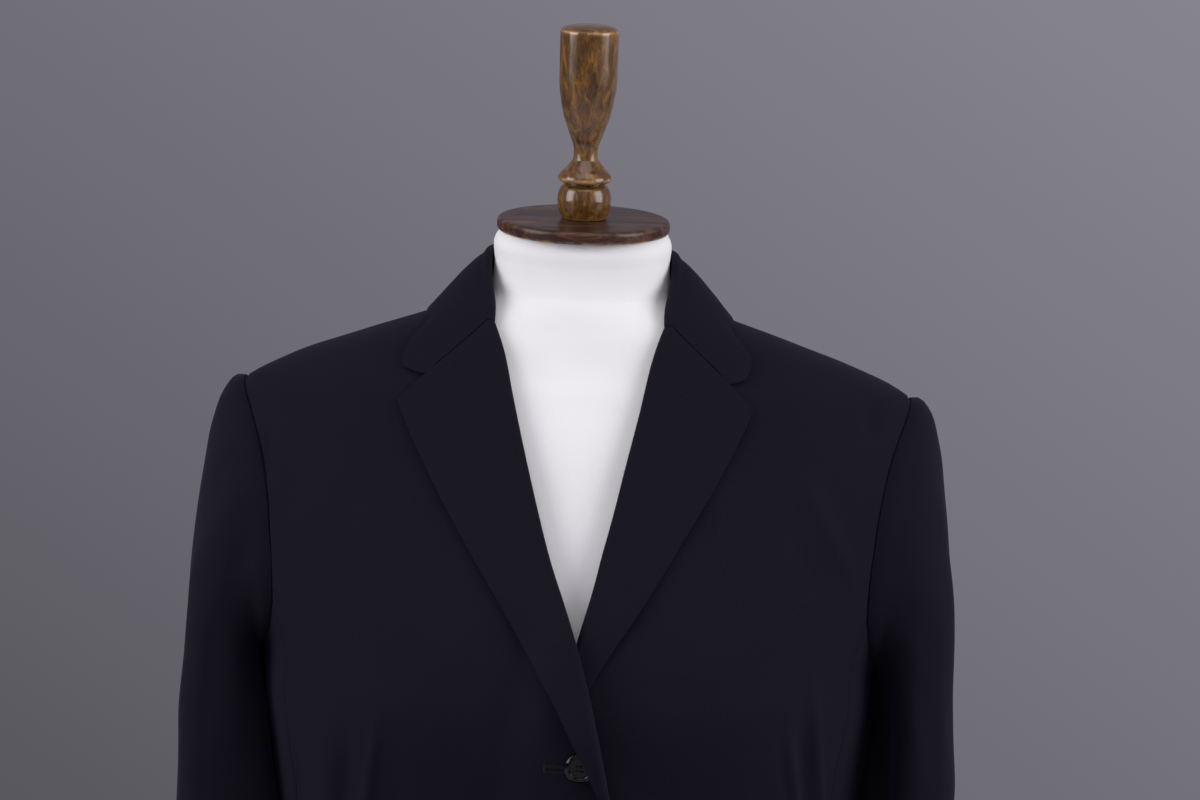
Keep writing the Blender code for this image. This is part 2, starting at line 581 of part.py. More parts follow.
def button(name, z):
    """A dished button with four holes, lying on the right front."""
    size = BUTTON
    radius, thick = size["radius"], size["thick"]
    floor, bevel = thick - size["sink"], size["bevel"]
    outline = (
        (0, floor), (size["dish"], floor), (size["dish"] + bevel, thick), (radius - bevel, thick),
        (radius, thick - 0.0010), (radius, 0.0012), (radius - 0.0012, 0), (0, 0),
    )
    obj = turned(name, outline, "button_gloss", size["sides"])
    for corner in range(4):
        angle = pi / 4 + corner * pi / 2
        bpy.ops.mesh.primitive_cylinder_add(
            vertices=size["hole_sides"], radius=size["hole"], depth=3 * thick,
            location=(size["hole_from_axis"] * np.cos(angle), size["hole_from_axis"] * np.sin(angle), 0))
        cutter = bpy.context.object
        cutter.name = name + "_hole_" + str(corner + 1)
        cutter.hide_render = True
        cutter.display_type = "WIRE"
        for holder in list(cutter.users_collection):
            holder.objects.unlink(cutter)
        CUTTERS.objects.link(cutter)
        cutter.parent = obj
        cut = obj.modifiers.new("hole", "BOOLEAN")
        cut.operation = "DIFFERENCE"
        cut.object = cutter
    around = np.linspace(0, 2 * pi, 12, endpoint=False)
    across, along = radius * np.cos(around), radius * np.sin(around)
    under = across_front(CENTRE_X + across, z + along, 0.0, True)
    lean = np.polyfit(along, under[:, 1], 1)[0]
    middle = across_front(np.array([CENTRE_X]), np.array([z]), 0.0, True)[0, 1]
    nearest = min(middle, (under[:, 1] - lean * (under[:, 2] - z)).min())
    obj.location = (CENTRE_X, nearest - 2 * SEAM, z)
    tilt = np.arctan(lean)
    obj.rotation_euler = (pi / 2 - tilt, 0, 0)
    return obj


def dress_form():
    """Closed body from hem to neck, its top cut on the slope of the neck cap."""
    z = FORM[:, 0]
    turns = np.linspace(-pi, pi, FORM_COLUMNS + 1)[:-1]
    turn_grid, z_grid = np.meshgrid(turns, z)
    points = section(FORM, turn_grid, z_grid)
    slope = ease((points[..., 2] - 1.100) / 0.036)
    points[..., 2] += points[..., 1] * tan(CAP_TILT) * slope
    rows, columns = points.shape[:2]
    faces = []
    for r in range(rows - 1):
        for c in range(columns):
            beside = (c + 1) % columns
            low, high = r * columns, (r + 1) * columns
            faces.append((low + c, low + beside, high + beside, high + c))
    faces.append(tuple(range(columns))[::-1])
    faces.append(tuple(range((rows - 1) * columns, rows * columns)))
    solid("dress_form", points.reshape(-1, 3), faces, "jersey")


def stand():
    cap = turned("neck_cap", NECK_CAP, "walnut", 32)
    knob = turned("finial", FINIAL, "walnut", 20)
    turned("base", BASE, "walnut", 32)
    up = np.array([0, -np.sin(CAP_TILT), np.cos(CAP_TILT)])
    foot = np.array([0, 0, NECK_TOP]) + up * SEAM
    for piece, height in ((cap, 0), (knob, NECK_CAP[0][1] + SEAM)):
        piece.location = foot + up * height
        piece.rotation_euler = (CAP_TILT, 0, 0)
    low, high = BASE[0][1] + SEAM, FORM[0, 0] - SEAM
    bpy.ops.mesh.primitive_cylinder_add(
        vertices=24, radius=POLE_RADIUS, depth=high - low, location=(0, 0, (low + high) / 2))
    pole = bpy.context.object
    pole.name = "pole"
    pole.data.materials.append(material("pole", "steel"))
    pole.data.shade_smooth()
    pole.data.set_sharp_from_angle(angle=radians(40))
    for holder in list(pole.users_collection):
        holder.objects.unlink(pole)
    BLAZER.objects.link(pole)


for old in list(bpy.data.objects):
    bpy.data.objects.remove(old, do_unlink=True)
BLAZER = bpy.data.collections.new("blazer_on_form")
CUTTERS = bpy.data.collections.new("cutters")
bpy.context.scene.collection.children.link(BLAZER)
bpy.context.scene.collection.children.link(CUTTERS)

for hand_side in (-1, 1):
    front(hand_side)
    side_panel(hand_side)
    back(hand_side)
    sleeve(hand_side)
    lapel(hand_side)
collar()
for number, height in enumerate(BUTTON_HEIGHTS, start=1):
    button("button_" + str(number), height)
dress_form()
stand()
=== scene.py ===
# A women's single breasted blazer in near-black navy suiting, buttoned on a jersey covered dress form
# with a turned walnut neck cap, finial and foot. Metres, +Z up, the garment's front towards -Y,
# the wearer's left at +X. A side is -1 at the wearer's right and 1 at the wearer's left.
from math import cos, pi, radians, sin, tan

import bpy
import numpy as np
from mathutils import Matrix, Vector


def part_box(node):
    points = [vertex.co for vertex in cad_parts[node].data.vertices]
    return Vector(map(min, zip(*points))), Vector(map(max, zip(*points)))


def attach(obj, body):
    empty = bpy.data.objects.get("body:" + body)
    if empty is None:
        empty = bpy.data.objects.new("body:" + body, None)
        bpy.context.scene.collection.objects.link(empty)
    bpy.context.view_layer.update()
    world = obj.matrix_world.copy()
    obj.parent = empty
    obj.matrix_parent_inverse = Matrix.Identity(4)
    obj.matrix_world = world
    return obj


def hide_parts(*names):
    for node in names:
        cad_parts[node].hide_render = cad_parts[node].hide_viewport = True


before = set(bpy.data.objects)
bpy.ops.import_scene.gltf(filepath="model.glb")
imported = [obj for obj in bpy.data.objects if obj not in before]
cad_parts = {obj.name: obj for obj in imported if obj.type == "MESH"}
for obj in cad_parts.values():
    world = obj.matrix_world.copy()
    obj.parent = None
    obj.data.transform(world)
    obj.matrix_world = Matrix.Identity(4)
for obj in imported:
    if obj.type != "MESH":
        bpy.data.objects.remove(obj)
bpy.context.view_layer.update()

mm = 0.001


def boxMiddle(node):
    low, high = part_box(node)
    return (low + high) / 2


def read(table, at):  # monotone cubic through a table's rows, keyed by its first column
    key, rows = table[:, 0], table[:, 1:]
    rise = np.diff(rows, axis=0) / np.diff(key)[:, None]
    both, total = rise[:-1] * rise[1:], rise[:-1] + rise[1:]
    middle = np.where(both > 0, 2 * both / np.where(both > 0, total, 1), 0)
    slope = np.vstack([rise[:1], middle, rise[-1:]])
    return np.moveaxis(hermite(key, rows, slope, at), -1, 0)


def curveThrough(key, rows, at):  # smooth curve through rows, which may be points or whole grids
    rows = np.asarray(rows, float)
    step = np.diff(key).reshape((-1,) + (1,) * (rows.ndim - 1))
    rise = np.diff(rows, axis=0) / step
    middle = (step[1:] * rise[:-1] + step[:-1] * rise[1:]) / (step[1:] + step[:-1])
    return hermite(key, rows, np.concatenate([rise[:1], middle, rise[-1:]]), at)


def hermite(key, rows, slope, at):
    at = np.clip(np.asarray(at, float), key[0], key[-1])
    row = np.clip(np.searchsorted(key, at, side="right") - 1, 0, len(key) - 2)
    shape = at.shape + (1,) * (rows.ndim - 1)
    width = (key[row + 1] - key[row]).reshape(shape)
    u = (at - key[row]).reshape(shape) / width
    value = (1 + 2 * u) * (1 - u) ** 2 * rows[row] + u * (1 - u) ** 2 * width * slope[row]
    return value + u * u * (3 - 2 * u) * rows[row + 1] - u * u * (1 - u) * width * slope[row + 1]


def ease(value):  # 0 below 0, 1 above 1, smooth between
    value = np.clip(value, 0, 1)
    return value * value * (3 - 2 * value)


def power(value, exponent):
    return np.sign(value) * np.abs(value) ** exponent


def unit(vectors):
    return vectors / np.maximum(np.linalg.norm(vectors, axis=-1, keepdims=True), 1e-12)


def steps(points):  # running length along the last grid axis
    gap = np.linalg.norm(np.diff(points, axis=-2), axis=-1)
    return np.concatenate([np.zeros(gap.shape[:-1] + (1,)), np.cumsum(gap, axis=-1)], axis=-1)


cloth = {"thick": 1.6 * mm, "seamGap": 0.15 * mm, "seamDip": 0.3 * mm, "seamDipWidth": 1.6 * mm,
         "seamSharpness": 3.0}  # sewn edges round over this many times more tightly than free ones

body = {
    "hemZ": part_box("back_left")[0].z, "neckZ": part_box("back_left")[1].z,
    "sections": np.array([
        # z, half width, depth in front, depth behind, where the sides lie, roundness in front, behind
        (0.430, 0.200, 0.128, 0.140, 0.006, 2.40, 2.4), (0.500, 0.197, 0.130, 0.145, 0.006, 2.40, 2.4),
        (0.580, 0.187, 0.125, 0.129, 0.004, 2.40, 2.4), (0.695, 0.174, 0.118, 0.097, 0.000, 2.40, 2.4),
        (0.775, 0.184, 0.136, 0.105, 0.000, 2.45, 2.4), (0.850, 0.193, 0.150, 0.118, 0.000, 2.50, 2.3),
        (0.870, 0.1945, 0.148, 0.121, 0.000, 2.45, 2.3), (0.900, 0.204, 0.141, 0.124, 0.000, 2.40, 2.3),
        (0.940, 0.222, 0.126, 0.126, 0.002, 2.30, 2.3), (0.980, 0.238, 0.109, 0.121, 0.004, 2.20, 2.3),
        (1.010, 0.236, 0.095, 0.112, 0.005, 2.20, 2.3), (1.030, 0.224, 0.084, 0.101, 0.006, 2.20, 2.3),
        (1.041, 0.213, 0.078, 0.093, 0.006, 2.20, 2.3), (1.058, 0.180, 0.069, 0.080, 0.006, 2.20, 2.3),
        (1.0726, 0.140, 0.063, 0.068, 0.006, 2.20, 2.3), (1.086, 0.100, 0.058, 0.060, 0.006, 2.20, 2.3),
        (1.096, 0.070, 0.054, 0.056, 0.006, 2.20, 2.3),
    ]),
    # armhole seam: distance from the middle at each height, in front and behind
    "holeFront": np.array([
        (0.872, 0.1950), (0.880, 0.1905), (0.892, 0.1870), (0.910, 0.1855), (0.930, 0.1860),
        (0.950, 0.1880),
        (0.970, 0.1905), (0.995, 0.1955), (1.013, 0.2010), (1.030, 0.2085), (1.041, 0.2130),
    ]),
    "holeBack": np.array([
        (0.872, 0.1950), (0.880, 0.1925), (0.895, 0.1925), (0.920, 0.1960), (0.950, 0.2000),
        (0.980, 0.2035),
        (1.013, 0.2085), (1.030, 0.2120), (1.041, 0.2130),
    ]),
    "holeLow": 0.872, "holeTop": 1.041, "sideSeamZ": 0.905, "rows": 184, "girthSteps": 33,
    "nudgeZ": 4e-4, "nudgeTurn": 4e-3,  # small steps to both sides that give the slope of the surface
    "shoulderGapShare": 0.6, "shoulderDepth": 0.05,  # together they make the shoulder seam's gap a turn
}


def section(table, turn, z, smooth=False):  # turn is 0 at +X, a quarter in front, minus a quarter behind
    values = np.moveaxis(curveThrough(table[:, 0], table[:, 1:], z), -1, 0) if smooth else read(table, z)
    half, front, back, side, frontPower, backPower = values
    ahead = np.sin(turn) >= 0
    bend = 2 / np.where(ahead, frontPower, backPower)
    depth = np.where(ahead, front + side, back - side)
    x = half * power(np.cos(turn), bend)
    return np.stack([x, side - depth * power(np.sin(turn), bend), np.broadcast_to(z, x.shape)], axis=-1)


def turnAt(x, z, ahead=True):
    half, _, _, _, frontPower, backPower = read(body["sections"], z)
    turn = np.arccos(np.clip(power(x / half, (frontPower if ahead else backPower) / 2), -1, 1))
    return turn if ahead else -turn


def onBody(turn, z):  # points of the body and the way out of it
    turn, z = np.broadcast_arrays(np.asarray(turn, float), np.asarray(z, float))
    table = body["sections"]
    low, high = (np.clip(z + nudge, body["hemZ"], body["neckZ"])
                 for nudge in (-body["nudgeZ"], body["nudgeZ"]))
    across = section(table, turn + body["nudgeTurn"], z) - section(table, turn - body["nudgeTurn"], z)
    out = unit(np.cross(section(table, turn, high) - section(table, turn, low), across))
    return section(table, turn, z), out


def onFront(x, z):
    return onBody(turnAt(np.asarray(x, float), np.asarray(z, float)), z)


def onBack(x, z):
    return onBody(turnAt(np.asarray(x, float), np.asarray(z, float), False), z)


# what shapes a crease: how far it reaches in widths, pieces of its path from spot to spot, and the share
# of its length over which each end dies away
crease = {"reach": 3, "pieces": 8, "fade": 0.32}


def creased(points, lines, place):  # soft ridges, or troughs where their height is below 0
    total = np.zeros(points.shape[:-1])
    for spots, width, height in lines:
        knots = np.array([place(*spot)[0] for spot in spots])
        last = len(knots) - 1
        places = np.linspace(0, last, crease["pieces"] * last + 1)
        path = curveThrough(np.arange(last + 1), knots, places)
        reach = crease["reach"] * width * mm
        near = ((points > path.min(0) - reach) & (points < path.max(0) + reach)).all(-1)
        if not near.any():
            continue
        here = points[near]
        best, along = np.full(len(here), 1e9), np.zeros(len(here))
        for index in range(len(path) - 1):
            start, step = path[index], path[index + 1] - path[index]
            share = np.clip((here - start) @ step / (step @ step), 0, 1)
            gap = np.linalg.norm(here - start - share[:, None] * step, axis=1)
            closer = gap < best
            best[closer] = gap[closer]
            along[closer] = (index + share[closer]) / (len(path) - 1)
        fade = ease(np.minimum(along, 1 - along) / crease["fade"])
        total[near] += height * mm * fade * np.exp(-(best / (width * mm)) ** 2)
    return total


def uneven(points, size=0.45 * mm):  # worn cloth is never quite flat: slow waves 50 to 110 mm long
    x, y, z = np.moveaxis(points, -1, 0)
    waves = np.sin(71 * x + 33 * z + 1.1) * np.sin(47 * z - 38 * y + 0.4)
    waves += 0.7 * np.sin(52 * y - 64 * z + 23 * x)
    waves += 0.5 * np.sin(118 * x - 41 * z + 2.0) * np.sin(96 * z + 55 * y)
    return size * waves


closeRows = 4  # rows that edged adds along each edge


def edged(length, count):  # shares from edge to edge, close together where the edge rounds over
    length = np.atleast_1d(np.asarray(length, float))
    radius = cloth["thick"] / 2
    near = np.append(radius * (1 - np.cos(np.radians((0, 30, 60, 90)))), 2 * radius)
    near = np.minimum(near / length[:, None], np.linspace(0, 0.12, 5))
    middle = np.linspace(near[:, -1], 1 - near[:, -1], count, axis=1)
    return np.concatenate([near[:, :-1], middle, 1 - near[:, -2::-1]], axis=1)


def linked(name, mesh):
    obj = bpy.data.objects.new(name, mesh)
    bpy.context.scene.collection.objects.link(obj)
    return obj


def faceOutwards(mesh, points, faces):
    corners = points[faces[:, :3]]
    if np.einsum("ij,ij->", corners[:, 0], np.cross(corners[:, 1], corners[:, 2])) < 0:
        mesh.flip_normals()


def makeMesh(name, points, faces, uv):  # faces are all of four corners
    mesh = bpy.data.meshes.new(name)
    mesh.vertices.add(len(points))
    mesh.vertices.foreach_set("co", points.astype(np.float32).ravel())
    mesh.loops.add(faces.size)
    mesh.loops.foreach_set("vertex_index", faces.astype(np.int32).ravel())
    mesh.polygons.add(len(faces))
    mesh.polygons.foreach_set("loop_start", np.arange(0, faces.size, 4, dtype=np.int32))
    mesh.update(calc_edges=True)
    mesh.uv_layers.new(name="weave").data.foreach_set("uv", uv[faces.ravel()].astype(np.float32).ravel())
    faceOutwards(mesh, points, faces)
    mesh.shade_smooth()
    return linked(name, mesh)


def gridFaces(index):
    quads = [index[:-1, :-1], index[:-1, 1:], index[1:, 1:], index[1:, :-1]]
    return np.stack(quads, axis=-1).reshape(-1, 4)


def shell(name, outer, out, edge, uv):
    # a wall under the outer surface whose edges round over
    # edge is each point's distance to the nearest edge
    thick = cloth["thick"]
    radius = thick / 2
    drop = radius - np.sqrt(np.maximum(radius ** 2 - (radius - np.minimum(edge, radius)) ** 2, 0))
    top = outer - out * drop[..., None]
    under = outer - out * (thick - drop)[..., None]
    rows, columns = edge.shape
    index = np.arange(rows * columns).reshape(rows, columns)
    below = index + rows * columns
    below[0], below[-1], below[:, 0], below[:, -1] = index[0], index[-1], index[:, 0], index[:, -1]
    faces = np.concatenate([gridFaces(index), gridFaces(below)[:, ::-1]])
    points = np.concatenate([top.reshape(-1, 3), under.reshape(-1, 3)])
    used, faces = np.unique(faces, return_inverse=True)
    flat = np.concatenate([uv.reshape(-1, 2)] * 2)
    return makeMesh(name, points[used], faces.reshape(-1, 4), flat[used])


def weaveMap(grid):  # metres across and along the cloth
    across = steps(grid)
    along = steps(np.swapaxes(grid, 0, 1)).mean(0)
    fromMiddle = across - across.mean(1, keepdims=True)
    return np.stack([fromMiddle, np.broadcast_to(along[:, None], across.shape)], -1)


def gridNormals(grid):
    return unit(np.cross(np.gradient(grid, axis=1), np.gradient(grid, axis=0)))


def seamDip(distance):
    return -cloth["seamDip"] * np.exp(-(distance / cloth["seamDipWidth"]) ** 2)


def linear(code):  # "#rrggbb" to linear colour
    channels = [int(code[i:i + 2], 16) / 255 for i in (1, 3, 5)]
    return [c / 12.92 if c <= 0.04045 else ((c + 0.055) / 1.055) ** 2.4 for c in channels] + [1.0]


def addNode(tree, kind, settings=(), links=()):
    node = tree.nodes.new("ShaderNode" + kind)
    for key, value in dict(settings).items():
        if isinstance(key, int) or key in node.inputs:
            node.inputs[key].default_value = value
        else:
            setattr(node, key, value)
    for key, socket in dict(links).items():
        tree.links.new(socket, node.inputs[key])
    return node


def newMaterial(name, shaderSettings):
    made = bpy.data.materials.new(name)
    made.use_nodes = True
    tree = made.node_tree
    shader = tree.nodes["Principled BSDF"]
    for key, value in shaderSettings.items():
        shader.inputs[key].default_value = value
    return made, tree, shader


def woolSuiting():
    # worsted wool suiting, woven in a fine twill and pressed: nearly black and dull, with a faint bloom
    # of nap
    made, tree, shader = newMaterial("worstedSuiting", {
        "Roughness": 0.86, "IOR": 1.45, "Specular IOR Level": 0.15,
        "Sheen Weight": 0.045, "Sheen Roughness": 0.4, "Sheen Tint": linear("#a094dc")})
    twillPitch = 1.3 * mm  # the real twill line is about 0.5 mm, drawn coarser so that it shows
    place = addNode(tree, "UVMap", {"uv_map": "weave"})
    twill = addNode(tree, "TexWave",
                    {"bands_direction": "DIAGONAL", "Scale": 2 * pi / (10 * 1.414 * twillPitch),
                     "Distortion": 1.2, "Detail": 1.0, "Detail Scale": 0.6},
                    {"Vector": place.outputs["UV"]})
    nap = addNode(tree, "TexNoise", {"Scale": 1 / (1.6 * mm), "Detail": 3.0, "Roughness": 0.65},
                  {"Vector": place.outputs["UV"]})
    cloudy = addNode(tree, "TexNoise", {"Scale": 14.0, "Detail": 3.0}, {"Vector": place.outputs["UV"]})
    blend = addNode(tree, "Math", {"operation": "MULTIPLY_ADD", 1: 0.35},
                    {0: twill.outputs["Fac"], 2: nap.outputs["Fac"]})
    blend = addNode(tree, "Math", {"operation": "MULTIPLY_ADD", 1: 0.6, "use_clamp": True},
                    {0: cloudy.outputs["Fac"], 2: blend.outputs["Value"]})
    shade = addNode(tree, "ValToRGB", {}, {"Fac": blend.outputs["Value"]})
    shade.color_ramp.elements[0].position = 0.45
    shade.color_ramp.elements[0].color = linear("#06050b")
    shade.color_ramp.elements[1].color = linear("#110f1a")
    height = addNode(tree, "Math", {"operation": "MULTIPLY_ADD", 1: 0.55},
                     {0: nap.outputs["Fac"], 2: twill.outputs["Fac"]})
    bump = addNode(tree, "Bump", {"Strength": 0.35, "Distance": 0.12 * mm},
                   {"Height": height.outputs["Value"]})
    tree.links.new(shade.outputs["Color"], shader.inputs["Base Color"])
    tree.links.new(bump.outputs["Normal"], shader.inputs["Normal"])
    return made


def cottonJersey():
    # cotton jersey, knitted and stretched over the form: matt white with fine upright wales
    made, tree, shader = newMaterial("cottonJersey", {
        "Roughness": 0.92, "IOR": 1.45, "Specular IOR Level": 0.25,
        "Sheen Weight": 0.12, "Sheen Roughness": 0.5})
    walePitch = 1.2 * mm  # real wales are about 0.7 mm apart, drawn coarser so that they show
    place = addNode(tree, "UVMap", {"uv_map": "weave"})
    wales = addNode(tree, "TexWave", {"bands_direction": "X", "Scale": 2 * pi / (20 * walePitch),
                                      "Distortion": 0.7, "Detail": 1.0, "Detail Scale": 0.5},
                    {"Vector": place.outputs["UV"]})
    fuzz = addNode(tree, "TexNoise", {"Scale": 1 / (1.5 * mm), "Detail": 3.0},
                   {"Vector": place.outputs["UV"]})
    cloudy = addNode(tree, "TexNoise", {"Scale": 11.0, "Detail": 2.0}, {"Vector": place.outputs["UV"]})
    shade = addNode(tree, "ValToRGB", {}, {"Fac": cloudy.outputs["Fac"]})
    shade.color_ramp.elements[0].color = linear("#e6e3e4")
    shade.color_ramp.elements[1].color = linear("#f0eef0")
    height = addNode(tree, "Math", {"operation": "MULTIPLY_ADD", 1: 0.8},
                     {0: fuzz.outputs["Fac"], 2: wales.outputs["Fac"]})
    bump = addNode(tree, "Bump", {"Strength": 0.3, "Distance": 0.12 * mm},
                   {"Height": height.outputs["Value"]})
    tree.links.new(shade.outputs["Color"], shader.inputs["Base Color"])
    tree.links.new(bump.outputs["Normal"], shader.inputs["Normal"])
    return made


def varnishedWalnut(name, dark, middle, light, axis, coat, grain, width):
    # walnut, turned, stained and varnished: brown streaks along the grain, dark pores, rubbed pale at
    # its edges; streaks are so many metres wide and grain times longer
    made, tree, shader = newMaterial(name, {
        "Roughness": 0.42, "IOR": 1.5, "Specular IOR Level": 0.2, "Coat Weight": coat,
        "Coat Roughness": 0.16, "Coat IOR": 1.5})
    along = [1.0 / grain if i == axis else 1.0 for i in range(3)]
    place = addNode(tree, "TexCoord")
    streaks = addNode(tree, "Mapping", {"Scale": along}, {"Vector": place.outputs["Object"]})
    figure = addNode(tree, "TexNoise", {"Scale": 1 / width, "Detail": 7.0, "Roughness": 0.78,
                                        "Distortion": 0.8}, {"Vector": streaks.outputs["Vector"]})
    shade = addNode(tree, "ValToRGB", {}, {"Fac": figure.outputs["Fac"]})
    ramp = shade.color_ramp
    ramp.elements[0].position, ramp.elements[0].color = 0.34, linear(dark)
    ramp.elements[1].position, ramp.elements[1].color = 0.68, linear(light)
    ramp.elements.new(0.50).color = linear(middle)
    pores = addNode(tree, "TexNoise", {"Scale": 1 / (0.9 * mm), "Detail": 2.0},
                    {"Vector": streaks.outputs["Vector"]})
    poreMask = addNode(tree, "MapRange", {"From Min": 0.60, "From Max": 0.72, "To Max": 0.75},
                       {"Value": pores.outputs["Fac"]})
    pored = addNode(tree, "Mix", {"data_type": "RGBA", 7: linear("#1c110b")},
                    {0: poreMask.outputs["Result"], 6: shade.outputs["Color"]})
    worn = addNode(tree, "Attribute", {"attribute_name": "wear"})
    patchy = addNode(tree, "TexNoise", {"Scale": 1 / (6 * mm), "Detail": 3.0},
                     {"Vector": place.outputs["Object"]})
    patch = addNode(tree, "MapRange", {"From Min": 0.36, "From Max": 0.6},
                    {"Value": patchy.outputs["Fac"]})
    rubbed = addNode(tree, "Math", {"operation": "MULTIPLY", "use_clamp": True},
                     {0: worn.outputs["Fac"], 1: patch.outputs["Result"]})
    colour = addNode(tree, "Mix", {"data_type": "RGBA", 7: linear("#b98c5c")},
                     {0: rubbed.outputs["Value"], 6: pored.outputs[2]})
    bump = addNode(tree, "Bump", {"Strength": 0.25, "Distance": 0.15 * mm, "invert": True},
                   {"Height": poreMask.outputs["Result"]})
    tree.links.new(colour.outputs[2], shader.inputs["Base Color"])
    tree.links.new(bump.outputs["Normal"], shader.inputs["Normal"])
    return made


def castPolyester():
    # cast polyester, turned and polished: black-brown and glossy, with faint horn-like clouds
    made, tree, shader = newMaterial("castPolyester", {
        "Roughness": 0.1, "IOR": 1.54, "Specular IOR Level": 0.24})
    place = addNode(tree, "TexCoord")
    clouds = addNode(tree, "TexNoise", {"Scale": 1 / (5 * mm), "Detail": 4.0, "Distortion": 1.5},
                     {"Vector": place.outputs["Object"]})
    shade = addNode(tree, "ValToRGB", {}, {"Fac": clouds.outputs["Fac"]})
    shade.color_ramp.elements[0].position, shade.color_ramp.elements[1].position = 0.4, 0.75
    shade.color_ramp.elements[0].color = linear("#020203")
    shade.color_ramp.elements[1].color = linear("#080608")
    scratches = addNode(tree, "MapRange", {"To Min": 0.06, "To Max": 0.16},
                        {"Value": clouds.outputs["Fac"]})
    tree.links.new(shade.outputs["Color"], shader.inputs["Base Color"])
    tree.links.new(scratches.outputs["Result"], shader.inputs["Roughness"])
    return made


def silkTwist():
    # silk buttonhole twist, spun from three strands: near-black with a soft gleam across the strands
    made, tree, shader = newMaterial("silkTwist", {
        "Roughness": 0.6, "IOR": 1.5, "Specular IOR Level": 0.2, "Sheen Weight": 0.1,
        "Sheen Roughness": 0.35})
    place = addNode(tree, "TexCoord")
    strands = addNode(tree, "TexWave", {"Scale": 2 * pi / (20 * 0.35 * mm), "Distortion": 2.0},
                      {"Vector": place.outputs["Object"]})
    shade = addNode(tree, "ValToRGB", {}, {"Fac": strands.outputs["Fac"]})
    shade.color_ramp.elements[0].color = linear("#09070d")
    shade.color_ramp.elements[1].color = linear("#100e17")
    bump = addNode(tree, "Bump", {"Strength": 0.4, "Distance": 0.05 * mm},
                   {"Height": strands.outputs["Fac"]})
    tree.links.new(shade.outputs["Color"], shader.inputs["Base Color"])
    tree.links.new(bump.outputs["Normal"], shader.inputs["Normal"])
    return made


def brushedSteel():
    # chromed steel tube, brushed round: grey, with fine rings that spread its highlights
    made, tree, shader = newMaterial("brushedSteel", {
        "Base Color": linear("#b4b4b8"), "Metallic": 1.0, "Roughness": 0.3, "Anisotropic": 0.4})
    place = addNode(tree, "TexCoord")
    rings = addNode(tree, "Mapping", {"Scale": (1.0, 1.0, 40.0)}, {"Vector": place.outputs["Object"]})
    lines = addNode(tree, "TexNoise", {"Scale": 30.0, "Detail": 4.0},
                    {"Vector": rings.outputs["Vector"]})
    rough = addNode(tree, "MapRange", {"To Min": 0.22, "To Max": 0.38}, {"Value": lines.outputs["Fac"]})
    bump = addNode(tree, "Bump", {"Strength": 0.12, "Distance": 0.05 * mm},
                   {"Height": lines.outputs["Fac"]})
    tree.links.new(rough.outputs["Result"], shader.inputs["Roughness"])
    tree.links.new(bump.outputs["Normal"], shader.inputs["Normal"])
    return made


finishes = {
    "suiting": woolSuiting(), "jersey": cottonJersey(), "button": castPolyester(), "twist": silkTwist(),
    "pole": brushedSteel(),
    "walnut": varnishedWalnut("varnishedWalnut", "#2c1805", "#5e3c12", "#94651f",
                              axis=2, coat=1.0, grain=4.0, width=5 * mm),
    "darkWalnut": varnishedWalnut("darkVarnishedWalnut", "#120a07", "#38211a", "#744a34",
                                  axis=0, coat=0.25, grain=9.0, width=9 * mm),
}


def finished(piece, finish, slot, *nodes):
    piece.data.materials.append(finishes[finish])
    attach(piece, "root")
    if nodes:
        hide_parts(*nodes)
    return piece


